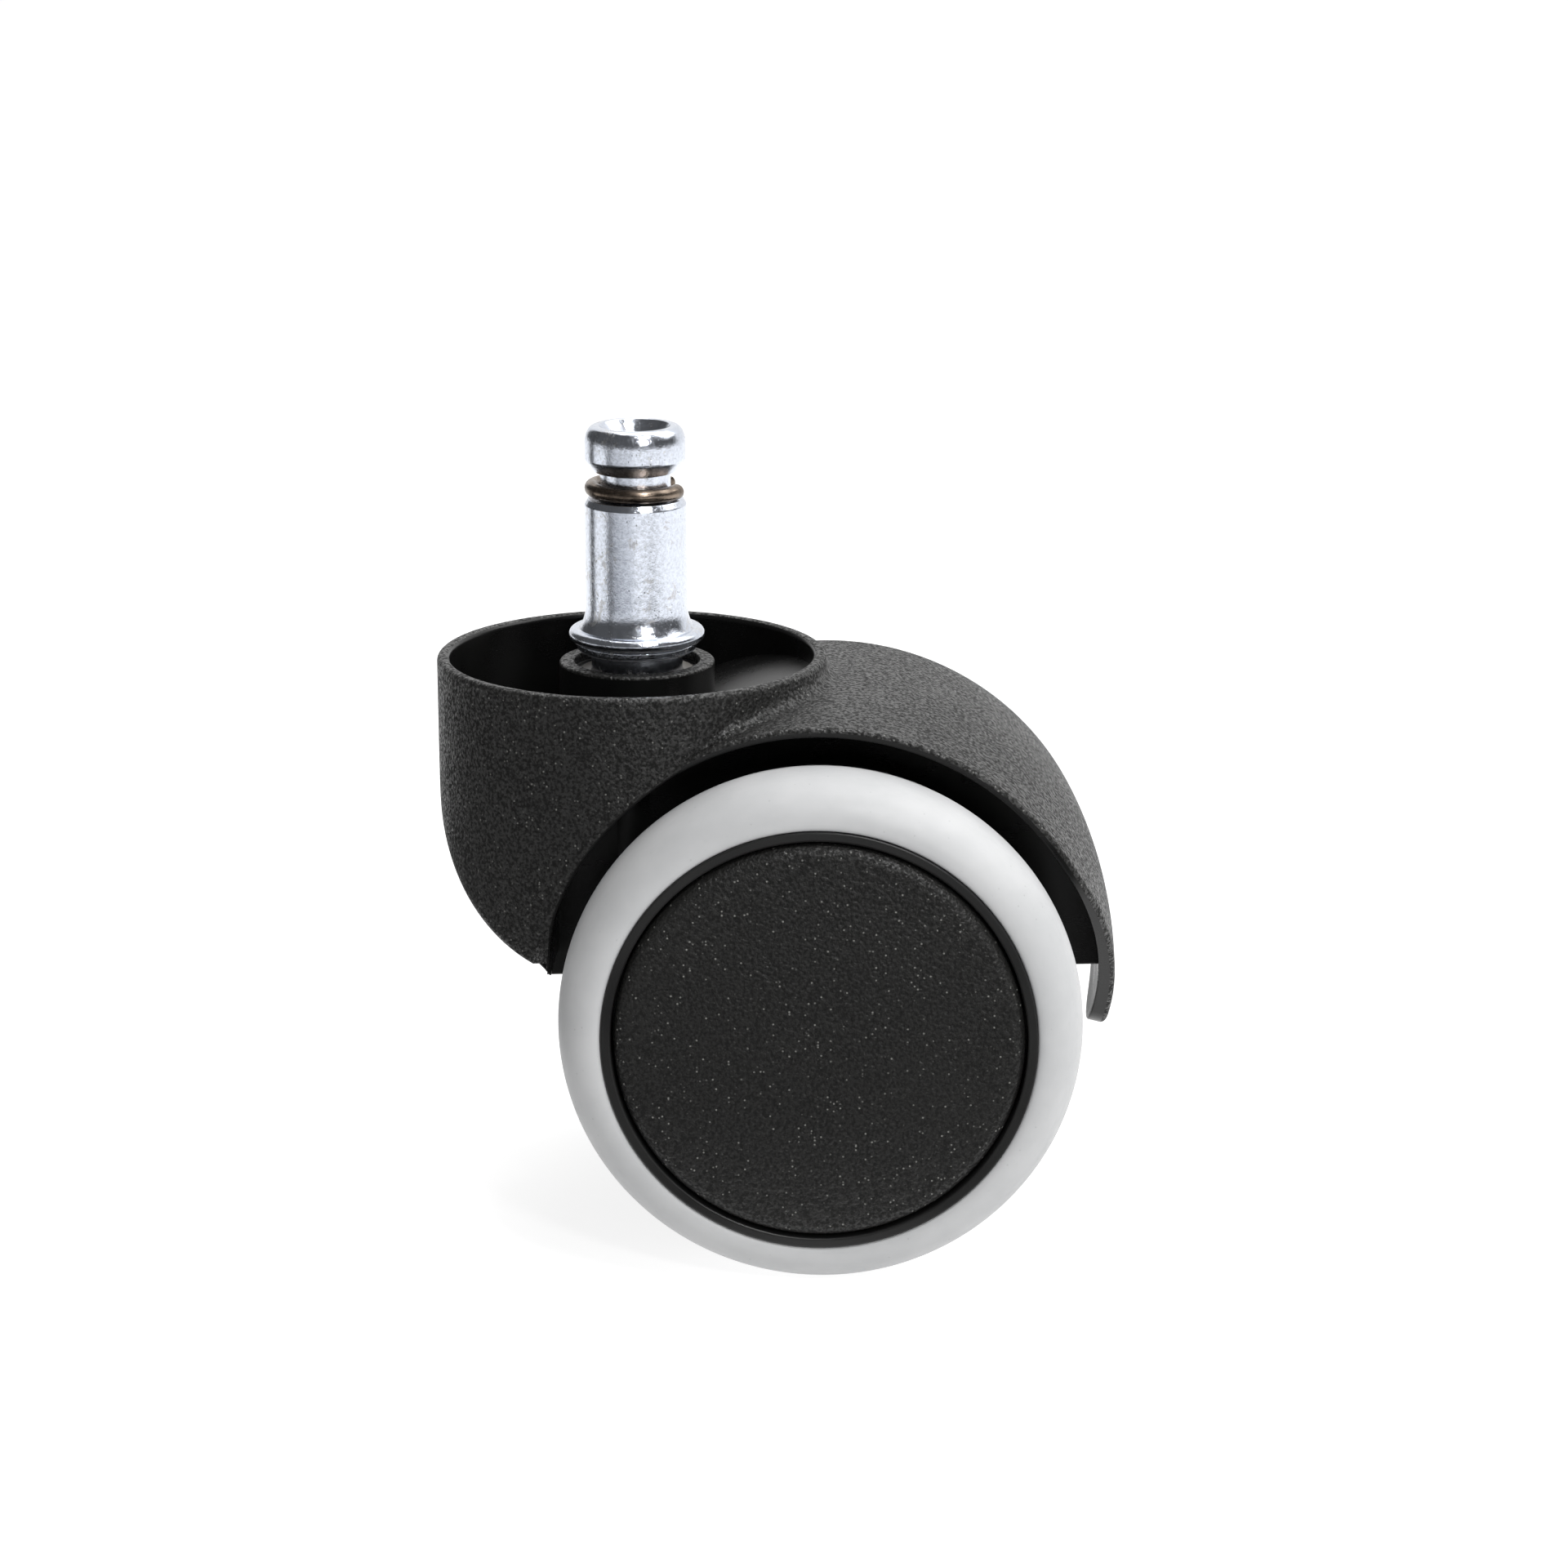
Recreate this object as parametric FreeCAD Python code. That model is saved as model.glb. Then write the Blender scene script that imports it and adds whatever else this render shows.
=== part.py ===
"""Twin-wheel chair caster with a hooded housing and a plug-in stem.

Frame: millimetres, +Z up along the stem, +X from the stem towards the tail of the hood, +Y along
the axle. The origin is on the stem's axis, on the top face of the stem's flange, which is the
face that the chair's leg comes down on.
"""
import FreeCAD, Part
import math
import os
from FreeCAD import Vector

# ---------------------------------------------------------------- driving dimensions, mm
# stem
STEM_R = 5.0
FLARE_R = 5.65
FLARE_H = 2.9
SHOULDER_Z = 12.35
SHOULDER_TOP_Z = 12.95
SHOULDER_TOP_R = 4.65
NECK_R = 3.45
NECK_TOP_Z = 15.6
HEAD_FOOT_R = 4.0
HEAD_R = 4.95
HEAD_BAND_Z = (16.8, 18.4)
STEM_TOP_Z = 20.1
STEM_TOP_R = 3.85
RECESS_R = 3.5
RECESS_FLOOR_R = 2.4
RECESS_DEPTH = 1.5
FLANGE_R = 6.7
FLANGE_T = 1.3
JOURNAL_R = 4.5
JOURNAL_END_Z = -25.2
JOURNAL_CHAMFER = 1.2
GROOVE_R = 3.6
GROOVE_Z = (-22.6, -21.7)
# grip ring
GRIP_WIRE_R = 0.75
GRIP_R = 4.23
GRIP_Z = 13.84
GRIP_TILT = 1.5
GRIP_GAP = (-13.0, 40.0)
# washer and retaining ring on the journal
WASHER_R = 5.85
WASHER_T = 0.95
SNAP_R = 5.2
SNAP_T = 0.75
# hood: cup, arch and tail
CUP_R = 19.2
CUP_WALL = 1.28
CUP_X = -0.5
CUP_RIM_Z = -2.6
CHIN_R = 16.0
CHIN_X = CUP_X - CUP_R + CHIN_R
CHIN_Z = -14.5
AXLE_X = 18.65
AXLE_Z = -33.54
ARCH_R = 27.1
ARCH_WALL = 1.2
HOOD_HALF_W = 18.3
HOOD_EDGE_R = 28.0
HOOD_CROWN = 0.9
HOOD_FOOT_Z = -30.2
TAIL_TOP_Z = -19.5
TAIL_TIP_Z = -40.3
TAIL_TIP_R = 5.0
TAIL_CORNER_R = 11.0
TAIL_CUT_X = 34.0
# web between the wheels
WEB_HALF_W = 7.5
WEB_PLATE = 1.5
WEB_CORE = 0.8
WEB_END_Z = (-33.5, -32.1)
RIB_T = 1.4
RIB_DEGS = (38.0, 64.0, 90.0, 116.0)
AXLE_BOSS_R = 6.6
AXLE_BOSS_HALF_W = 8.2
# socket for the stem
SOCKET_R = 7.67
SOCKET_TOP_Z = -3.3
SOCKET_MOUTH_R = 6.2
SOCKET_MOUTH_DEPTH = 1.0
SOCKET_FLOOR_Z = -26.6
SOCKET_END_Z = -29.0
BUSH_R = 5.6
RUNNING = 0.05
BUSH_END_Z = -21.25
DISC_T = 1.2
# axle and wheels
AXLE_R = 3.0
AXLE_HALF_L = 26.0
WHEEL_R = 25.0
FACE_Y = 28.0
DRUM_INNER_Y = 9.6
TYRE_BACK_Y = 16.4
TYRE_CROWN_Y = 22.2
TYRE_SEAT_R = 20.6
TYRE_FACE_R = 21.4
TYRE_LIP = 0.5
DRUM_R = 22.6
RIM_BORE_R = 19.65
SHOULDER_R = 18.9
CAP_SEAT_Y = 24.6
DISC_Y = (17.4, 19.2)
HUB_R = 7.2
HUB_Y = (9.05, 23.8)
HUB_BUSH_R = 4.6
SPOKES = 12
SPOKE_T = 1.4
HOOP_R = (12.4, 13.6)
CAP_R = 19.4
CAP_EDGE = 1.1
CAP_FACE_Y = 28.35
CAP_DOME = 0.35
CAP_T = 1.5
CLIP_R = 5.6
CLIP_Y = (24.1, 24.8)
SPACER_R = 6.0
SPACER_Y = (8.2, 8.75)

Z_AXIS = Vector(0, 0, 1)
Y_AXIS = Vector(0, 1, 0)
AXLE_POINT = Vector(AXLE_X, 0, AXLE_Z)


# ---------------------------------------------------------------- small helpers
def face_of(edges):
    """A flat face bounded by edges that already meet end to end."""
    return Part.Face(Part.Wire(edges))


def polygon(points):
    """Straight edges through the points and back to the first."""
    closed = list(points) + [points[0]]
    return Part.Face(Part.makePolygon(closed))


def turned(profile, axis_point, axis, degrees=360.0):
    """The solid that a flat profile sweeps when it turns about an axis."""
    return profile.revolve(axis_point, axis, degrees)


def upright(radius, z_low, z_high, x=0.0):
    """A round bar standing along Z."""
    return Part.makeCylinder(radius, z_high - z_low, Vector(x, 0, z_low), Z_AXIS)


def across(radius, y_low, y_high, x=AXLE_X, z=AXLE_Z):
    """A round bar lying along Y, on the axle's line unless told otherwise."""
    return Part.makeCylinder(radius, y_high - y_low, Vector(x, y_low, z), Y_AXIS)


def block(x_range, y_range, z_range):
    """A box between two corners."""
    low = Vector(x_range[0], y_range[0], z_range[0])
    return Part.makeBox(x_range[1] - x_range[0], y_range[1] - y_range[0], z_range[1] - z_range[0], low)


def line(a, b):
    """A straight edge between two points."""
    return Part.LineSegment(a, b).toShape()


def arc(a, middle, b):
    """A round edge through three points."""
    return Part.Arc(a, middle, b).toShape()


def quarter_oval(centre, long_end, short_end):
    """A quarter of an ellipse, from the end of its long half-axis to the end of its short one."""
    return Part.Arc(Part.Ellipse(long_end, short_end, centre), 0, math.pi / 2.0).toShape()


def ring_upright(outer, inner, z_low, z_high):
    """A flat ring about the stem's axis."""
    return upright(outer, z_low, z_high).cut(upright(inner, z_low - 1, z_high + 1))


def ring_across(outer, inner, y_low, y_high):
    """A flat ring about the axle's line."""
    return across(outer, y_low, y_high).cut(across(inner, y_low - 1, y_high + 1))


def side_ring(side, outer, inner, y_range):
    """A ring about the axle on one side of the caster."""
    low, high = sorted((side * y_range[0], side * y_range[1]))
    return ring_across(outer, inner, low, high)


# ---------------------------------------------------------------- stem group
def make_stem():
    """Headed stem with its flange, journal, ring groove and head recess, turned about Z."""
    def point(radius, z):
        return Vector(radius, 0, z)

    edge_r = FLANGE_T / 2.0
    flare_mid = point(STEM_R + 0.19 * (FLARE_R - STEM_R), 0.42 * FLARE_H)
    band_low, band_high = HEAD_BAND_Z
    crown_mid = point(HEAD_R - 0.33, band_high + 0.62 * (STEM_TOP_Z - band_high))
    below_flange = [
        point(0, JOURNAL_END_Z),
        point(JOURNAL_R - JOURNAL_CHAMFER, JOURNAL_END_Z),
        point(JOURNAL_R, JOURNAL_END_Z + JOURNAL_CHAMFER),
        point(JOURNAL_R, GROOVE_Z[0]),
        point(GROOVE_R, GROOVE_Z[0]),
        point(GROOVE_R, GROOVE_Z[1]),
        point(JOURNAL_R, GROOVE_Z[1]),
        point(JOURNAL_R, -FLANGE_T),
        point(FLANGE_R - edge_r, -FLANGE_T),
    ]
    above_flare = [
        point(STEM_R, FLARE_H),
        point(STEM_R, SHOULDER_Z),
        point(SHOULDER_TOP_R, SHOULDER_TOP_Z),
        point(NECK_R, SHOULDER_TOP_Z),
        point(NECK_R, NECK_TOP_Z),
        point(HEAD_FOOT_R, NECK_TOP_Z),
        point(HEAD_R, band_low),
        point(HEAD_R, band_high),
    ]
    head_top = [
        point(STEM_TOP_R, STEM_TOP_Z),
        point(RECESS_R, STEM_TOP_Z),
        point(RECESS_FLOOR_R, STEM_TOP_Z - RECESS_DEPTH),
        point(0, STEM_TOP_Z - RECESS_DEPTH),
        point(0, JOURNAL_END_Z),
    ]
    edges = [line(a, b) for a, b in zip(below_flange, below_flange[1:])]
    edges.append(arc(below_flange[-1], point(FLANGE_R, -edge_r), point(FLANGE_R - edge_r, 0)))
    edges.append(line(point(FLANGE_R - edge_r, 0), point(FLARE_R, 0)))
    edges.append(arc(point(FLARE_R, 0), flare_mid, above_flare[0]))
    edges += [line(a, b) for a, b in zip(above_flare, above_flare[1:])]
    edges.append(arc(above_flare[-1], crown_mid, head_top[0]))
    edges += [line(a, b) for a, b in zip(head_top, head_top[1:])]
    return turned(face_of(edges), Vector(0, 0, 0), Z_AXIS)


def make_grip_ring():
    """Open ring of round spring wire, sitting a little askew in the stem's neck."""
    wire_centre = Vector(GRIP_R, 0, GRIP_Z)
    section = Part.Face(Part.Wire(Part.makeCircle(GRIP_WIRE_R, wire_centre, Y_AXIS)))
    ring = turned(section, Vector(0, 0, GRIP_Z), Z_AXIS, 360.0 - (GRIP_GAP[1] - GRIP_GAP[0]))
    ring.rotate(Vector(0, 0, GRIP_Z), Z_AXIS, GRIP_GAP[1])
    ring.rotate(Vector(0, 0, GRIP_Z), Y_AXIS, GRIP_TILT)
    return ring


def make_stem_washer():
    """Flat washer under the flange."""
    return ring_upright(WASHER_R, JOURNAL_R + RUNNING, -FLANGE_T - WASHER_T, -FLANGE_T)


def make_retaining_ring():
    """Split snap ring in the journal's groove, which keeps the stem in its socket."""
    middle = (GROOVE_Z[0] + GROOVE_Z[1]) / 2.0
    low, high = middle - SNAP_T / 2.0, middle + SNAP_T / 2.0
    ring = ring_upright(SNAP_R, GROOVE_R + RUNNING, low, high)
    return ring.cut(block((0, SNAP_R + 1), (-0.9, 0.9), (low - 1, high + 1)))


# ---------------------------------------------------------------- housing
def hood_blank():
    """Solid of the hood's crowned outer shape: an arc-topped profile turned about the axle."""
    def point(y, radius):
        return Vector(AXLE_X + radius, y, AXLE_Z)

    crown = arc(
        point(-HOOD_HALF_W, HOOD_EDGE_R),
        point(0, HOOD_EDGE_R + HOOD_CROWN),
        point(HOOD_HALF_W, HOOD_EDGE_R),
    )
    sides = [
        line(point(HOOD_HALF_W, HOOD_EDGE_R), point(HOOD_HALF_W, 0)),
        line(point(HOOD_HALF_W, 0), point(-HOOD_HALF_W, 0)),
        line(point(-HOOD_HALF_W, 0), point(-HOOD_HALF_W, HOOD_EDGE_R)),
    ]
    return turned(face_of([crown] + sides), AXLE_POINT, Y_AXIS)


def cup_blank(radius, chin_r, z_low, z_high):
    """Upright round cup whose left foot is rounded under by the chin's arc."""
    cup = upright(radius, z_low, z_high, CUP_X)
    wide = 30.0
    chin = across(chin_r, -wide, wide, CHIN_X, CHIN_Z)
    above = block((-wide, wide), (-wide, wide), (CHIN_Z, z_high + 1))
    right = block((CHIN_X, wide), (-wide, wide), (z_low - 1, CHIN_Z))
    return cup.common(chin.fuse([above, right]))


def tail_trim():
    """Bar along X whose outline is the tail's: tapered, with a round tip."""
    high = AXLE_Z + HOOD_EDGE_R + 5.0
    tip_top = TAIL_TIP_Z + TAIL_TIP_R
    rise = TAIL_TOP_Z - tip_top
    turn = math.atan2(rise, HOOD_HALF_W) - math.acos(TAIL_TIP_R / math.hypot(rise, HOOD_HALF_W))
    touch_y = TAIL_TIP_R * math.cos(turn)
    touch_z = tip_top + TAIL_TIP_R * math.sin(turn)
    corners = [
        (HOOD_HALF_W, high),
        (HOOD_HALF_W, TAIL_TOP_Z),
        (touch_y, touch_z),
        (-touch_y, touch_z),
        (-HOOD_HALF_W, TAIL_TOP_Z),
        (-HOOD_HALF_W, high),
    ]
    length = 30.0
    outline = polygon([Vector(TAIL_CUT_X, y, z) for y, z in corners])
    keep = outline.extrude(Vector(length, 0, 0))
    shoulders = []
    for edge in keep.Edges:
        middle = edge.CenterOfMass
        along_x = abs(edge.BoundBox.XLength - length) < 0.01
        if along_x and abs(middle.z - TAIL_TOP_Z) < 0.01:
            shoulders.append(edge)
    keep = keep.makeFillet(TAIL_CORNER_R, shoulders)
    tip = Part.makeCylinder(TAIL_TIP_R, length, Vector(TAIL_CUT_X, 0, tip_top), Vector(1, 0, 0))
    return keep.fuse(tip)


def web_blank():
    """Deep web between the wheels, stopped by its sloping lower edge."""
    disc = across(ARCH_R + 0.4, -WEB_HALF_W, WEB_HALF_W)
    left_x = AXLE_X - ARCH_R - 1.0
    right_x = AXLE_X + ARCH_R + 1.0
    outline = [
        Vector(left_x, -WEB_HALF_W - 1, WEB_END_Z[0]),
        Vector(right_x, -WEB_HALF_W - 1, WEB_END_Z[1]),
        Vector(right_x, -WEB_HALF_W - 1, 5.0),
        Vector(left_x, -WEB_HALF_W - 1, 5.0),
    ]
    above = polygon(outline).extrude(Vector(0, 2 * WEB_HALF_W + 2, 0))
    return disc.common(above)


def web_pockets():
    """Moulding pockets in the web, open below, with radial ribs left between them."""
    inner_y = WEB_HALF_W - WEB_PLATE
    low = AXLE_Z - 2.0
    halves = []
    for side in (-1, 1):
        y_range = sorted((side * WEB_CORE, side * inner_y))
        halves.append(across(ARCH_R - 0.4, y_range[0], y_range[1]))
    pockets = halves[0].fuse(halves[1])
    keep = [across(AXLE_BOSS_R, -inner_y, inner_y)]
    for degrees in RIB_DEGS:
        rib = block((0, ARCH_R + 1), (-inner_y, inner_y), (-RIB_T / 2.0, RIB_T / 2.0))
        rib.rotate(Vector(0, 0, 0), Y_AXIS, -degrees)
        rib.translate(AXLE_POINT)
        keep.append(rib)
    keep.append(upright(SOCKET_R, SOCKET_END_Z, 0))
    keep.append(block((-30, 0), (-inner_y, inner_y), (-60, 0)).common(upright(SOCKET_R + 1.5, -60, 0)))
    pockets = pockets.cut(keep[0].fuse(keep[1:]))
    return pockets.common(block((-12, 60), (-10, 10), (low, 0)))


def make_housing():
    """One moulded hood: open cup, wheel arch with its tail, web, axle boss and stem socket."""
    low = -45.0
    arch = across(ARCH_R, -30, 30)
    cup = cup_blank(CUP_R, CHIN_R, low, CUP_RIM_Z).cut(arch)
    shell = cup.fuse(hood_blank().cut(arch))
    shell = shell.cut(block((TAIL_CUT_X, 80), (-40, 40), (-80, 40)).cut(tail_trim()))
    shell = shell.cut(block((-40, TAIL_CUT_X + 0.01), (-40, 40), (-80, HOOD_FOOT_Z)))
    inside = cup_blank(CUP_R - CUP_WALL, CHIN_R - CUP_WALL, low, CUP_RIM_Z + 5)
    inside = inside.cut(across(ARCH_R + ARCH_WALL, -30, 30))
    shell = shell.cut(inside)
    web = web_blank().cut(web_pockets())
    boss = across(AXLE_BOSS_R, -AXLE_BOSS_HALF_W, AXLE_BOSS_HALF_W)
    socket = upright(SOCKET_R, SOCKET_END_Z, SOCKET_TOP_Z)
    body = shell.fuse([web, boss, socket])
    body = body.cut(upright(BUSH_R, SOCKET_FLOOR_Z, 0))
    body = body.cut(upright(SOCKET_MOUTH_R, SOCKET_TOP_Z - SOCKET_MOUTH_DEPTH, 0))
    body = body.cut(across(AXLE_R, -30, 30))
    return body.removeSplitter()


def make_stem_bush():
    """Sleeve pressed into the socket, in which the journal turns."""
    return ring_upright(BUSH_R, JOURNAL_R + RUNNING, BUSH_END_Z, SOCKET_TOP_Z - SOCKET_MOUTH_DEPTH)


def make_thrust_disc():
    """Steel disc on the socket's floor that carries the stem's end."""
    return upright(BUSH_R - RUNNING, SOCKET_FLOOR_Z, SOCKET_FLOOR_Z + DISC_T)


def make_axle():
    """Plain pin through the web, carrying a wheel on each end, with chamfered tips."""
    pin = across(AXLE_R, -AXLE_HALF_L, AXLE_HALF_L)
    return pin.makeChamfer(0.5, [edge for edge in pin.Edges if edge.Curve.TypeId == "Part::GeomCircle"])


# ---------------------------------------------------------------- wheels
def wheel_profile(points, side):
    """Points given as distance from the axle and distance from the middle, on one side."""
    return [Vector(AXLE_X + radius, side * y, AXLE_Z) for radius, y in points]


def make_wheel_core(side):
    """Moulded wheel centre: hub, disc, drum with the tyre's seat, and spokes and a hoop behind the disc."""
    disc_in, disc_out = DISC_Y
    hub_in, hub_out = HUB_Y
    outline = [
        (HUB_BUSH_R, hub_in),
        (HUB_R, hub_in),
        (HUB_R, disc_in),
        (SHOULDER_R, disc_in),
        (SHOULDER_R, DRUM_INNER_Y),
        (DRUM_R - 0.8, DRUM_INNER_Y),
        (DRUM_R, DRUM_INNER_Y + 0.8),
        (DRUM_R, TYRE_BACK_Y),
        (TYRE_SEAT_R, TYRE_BACK_Y),
        (TYRE_SEAT_R, FACE_Y - 0.2),
        (TYRE_SEAT_R - 0.2, FACE_Y),
        (RIM_BORE_R + 0.2, FACE_Y),
        (RIM_BORE_R, FACE_Y - 0.2),
        (RIM_BORE_R, CAP_SEAT_Y),
        (SHOULDER_R, CAP_SEAT_Y),
        (SHOULDER_R, disc_out),
        (HUB_R, disc_out),
        (HUB_R, hub_out),
        (HUB_BUSH_R, hub_out),
    ]
    core = turned(polygon(wheel_profile(outline, side)), AXLE_POINT, Y_AXIS)
    spokes = []
    for index in range(SPOKES):
        y_range = sorted((side * (DRUM_INNER_Y + 0.6), side * (disc_in + 0.3)))
        spoke = block((HUB_R - 0.5, SHOULDER_R + 0.3), y_range, (-SPOKE_T / 2.0, SPOKE_T / 2.0))
        spoke.rotate(Vector(0, 0, 0), Y_AXIS, index * 360.0 / SPOKES)
        spoke.translate(AXLE_POINT)
        spokes.append(spoke)
    hoop = side_ring(side, HOOP_R[1], HOOP_R[0], (DRUM_INNER_Y + 0.6, disc_in + 0.3))
    return core.fuse(spokes + [hoop]).removeSplitter()


def make_tyre(side):
    """Soft tread moulded on the drum: an oval crown with a small rolled lip at the rim."""
    back_r = DRUM_R + 0.2
    points = [
        (TYRE_SEAT_R, TYRE_BACK_Y),
        (back_r, TYRE_BACK_Y),
        (WHEEL_R, TYRE_CROWN_Y),
        (TYRE_FACE_R, FACE_Y),
        (TYRE_SEAT_R + 0.14 * TYRE_LIP, FACE_Y - 0.25 * TYRE_LIP),
        (TYRE_SEAT_R, FACE_Y - TYRE_LIP),
    ]
    p = wheel_profile(points, side)
    back_centre, front_centre = wheel_profile([(back_r, TYRE_CROWN_Y), (TYRE_FACE_R, TYRE_CROWN_Y)], side)
    edges = [
        line(p[0], p[1]),
        quarter_oval(back_centre, p[1], p[2]),
        quarter_oval(front_centre, p[3], p[2]),
        arc(p[3], p[4], p[5]),
        line(p[5], p[0]),
    ]
    return turned(face_of(edges), AXLE_POINT, Y_AXIS)


def make_cap(side):
    """Grained cover pressed into the rim: shallow dome, round edge and a short skirt."""
    round_mid = CAP_EDGE * (1.0 - math.sqrt(0.5))
    flat_r = CAP_R - CAP_EDGE
    skirt_r = CAP_R - CAP_T
    inner_y = CAP_FACE_Y - CAP_T
    points = [
        (0, CAP_FACE_Y + CAP_DOME),
        (flat_r / 2.0, CAP_FACE_Y + 0.75 * CAP_DOME),
        (flat_r, CAP_FACE_Y),
        (CAP_R - round_mid, CAP_FACE_Y - round_mid),
        (CAP_R, CAP_FACE_Y - CAP_EDGE),
        (CAP_R, CAP_SEAT_Y),
        (skirt_r, CAP_SEAT_Y),
        (skirt_r, inner_y),
        (0, inner_y),
    ]
    p = wheel_profile(points, side)
    edges = [arc(p[0], p[1], p[2]), arc(p[2], p[3], p[4])]
    rest = p[4:] + [p[0]]
    edges += [line(a, b) for a, b in zip(rest, rest[1:])]
    return turned(face_of(edges), AXLE_POINT, Y_AXIS)


def make_parts():
    """Every sub-part by node name."""
    parts = {
        "stem": make_stem(),
        "grip_ring": make_grip_ring(),
        "stem_washer": make_stem_washer(),
        "stem_retaining_ring": make_retaining_ring(),
        "housing": make_housing(),
        "stem_bush": make_stem_bush(),
        "thrust_disc": make_thrust_disc(),
        "axle": make_axle(),
    }
    for name, side in (("left", -1), ("right", 1)):
        parts[name + "_wheel_core"] = make_wheel_core(side)
        parts[name + "_tyre"] = make_tyre(side)
        parts[name + "_wheel_cap"] = make_cap(side)
        parts[name + "_hub_bush"] = side_ring(side, HUB_BUSH_R, AXLE_R + RUNNING, HUB_Y)
        parts[name + "_axle_clip"] = side_ring(side, CLIP_R, AXLE_R, CLIP_Y)
        parts[name + "_spacer_washer"] = side_ring(side, SPACER_R, AXLE_R + RUNNING, SPACER_Y)
    return parts


os.makedirs("parts", exist_ok=True)
for node, shape in make_parts().items():
    solids = shape.Solids
    print(node, "valid", shape.isValid(), "solids", len(solids), "volume", round(shape.Volume, 1))
    (solids[0] if len(solids) == 1 else shape).exportStep("parts/%s.step" % node)
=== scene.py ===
"""Twin-wheel chair caster: finished surfaces, materials, floor, light and camera.

Shapes are worked out in millimetres in the model's frame (Z up the stem, X towards the hood's
tail, Y along the axle) and written to meshes in metres.
"""
import math
import bpy
import numpy as np
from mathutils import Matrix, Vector


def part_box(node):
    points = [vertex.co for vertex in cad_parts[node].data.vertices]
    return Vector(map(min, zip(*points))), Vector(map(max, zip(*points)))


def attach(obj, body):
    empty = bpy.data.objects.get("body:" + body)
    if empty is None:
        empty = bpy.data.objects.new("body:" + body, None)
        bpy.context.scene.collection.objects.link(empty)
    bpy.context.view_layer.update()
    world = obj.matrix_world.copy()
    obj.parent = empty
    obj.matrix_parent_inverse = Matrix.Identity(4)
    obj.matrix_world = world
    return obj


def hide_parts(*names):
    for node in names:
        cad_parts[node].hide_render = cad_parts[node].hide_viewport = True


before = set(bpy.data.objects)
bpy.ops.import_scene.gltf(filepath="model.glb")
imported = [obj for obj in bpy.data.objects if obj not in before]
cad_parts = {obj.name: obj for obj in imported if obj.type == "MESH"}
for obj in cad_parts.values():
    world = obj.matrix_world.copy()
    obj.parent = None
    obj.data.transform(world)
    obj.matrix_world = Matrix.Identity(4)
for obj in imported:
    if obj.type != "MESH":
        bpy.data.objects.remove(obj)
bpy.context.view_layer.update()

MM = 0.001


def corners(node):
    """Lowest and highest corner of a CAD node, in millimetres."""
    low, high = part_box(node)
    return np.array(low) / MM, np.array(high) / MM


# ---------------------------------------------------------------- places from the frame
AXLE_LOW, AXLE_HIGH = corners("axle")
AXLE_X = (AXLE_LOW[0] + AXLE_HIGH[0]) / 2
AXLE_Z = (AXLE_LOW[2] + AXLE_HIGH[2]) / 2
AXLE_R = (AXLE_HIGH[2] - AXLE_LOW[2]) / 2
HOUSING_LOW, HOUSING_HIGH = corners("housing")
STEM_LOW, STEM_HIGH = corners("stem")
TYRE_LOW, TYRE_HIGH = corners("right_tyre")
CORE_LOW, CORE_HIGH = corners("right_wheel_core")
CAP_LOW, CAP_HIGH = corners("right_wheel_cap")
WASHER_LOW, WASHER_HIGH = corners("stem_washer")
BUSH_HIGH = corners("stem_bush")[1]
FLOOR_Z = TYRE_LOW[2]

# ---------------------------------------------------------------- the hood's moulding, mm
CUP_R = HOUSING_HIGH[1]
CUP_X = HOUSING_LOW[0] + CUP_R
CUP_RIM_Z = HOUSING_HIGH[2]
CUP_WALL = 1.28
CUP_EDGE = 0.5
CHIN_R = 14.8
CHIN_X = HOUSING_LOW[0] + CHIN_R
CHIN_Z = -15.66
CHIN_BLEND = 3.5
CHIN_BLEND_Z = (-5.0, -22.0)
ARCH_R = 27.1
HOOD_HALF_W = 18.3
HOOD_EDGE_R = 28.0
HOOD_CROWN = 0.9
HOOD_MID_R = 28.2
LIP_OUTER = 0.5
LIP_INNER = 0.15
FOOT_SKIN = 0.25
FOOT_Z = -31.2
FOOT_T = 1.45
FOOT_TAPER = 1.1
FOOT_STEP = 0.7
FOOT_STEP_Z = (-24.0, -31.0)
FOOT_ANGLE = math.radians(155)
HIDE_IN = 0.35
HIDE_LOW_IN = 1.7
HIDE_Z = -18.0
HIDE_FALL = 12.0
FLAT_STEPS = 15
BEND_STEPS = 8
SIDE_STEPS = 3
CREASE_R = 1.3
EDGE_R = 0.25
SKIN = 0.02
TAIL_TOP_Z = -19.5
TAIL_TIP_Z = HOUSING_LOW[2]
TAIL_TIP_R = 5.0
TAIL_CORNER_R = 11.0
WEB_HALF_W = 7.5
WEB_PLATE = 1.5
WEB_CORE = 0.8
WEB_R = ARCH_R + 0.4
WEB_END_Z = (-33.75, -32.1)
RIB_T = 1.4
RIB_DEGS = (38.0, 64.0, 90.0, 116.0)
BOSS_R = 6.6
BOSS_HALF_W = 8.2
SOCKET_R = 7.67
SOCKET_TOP_Z = -3.3
SOCKET_MOUTH_R = 6.2
SOCKET_BORE_R = BUSH_HIGH[0]
SOCKET_FLOOR_Z = -26.6
SOCKET_END_Z = -29.0

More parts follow.
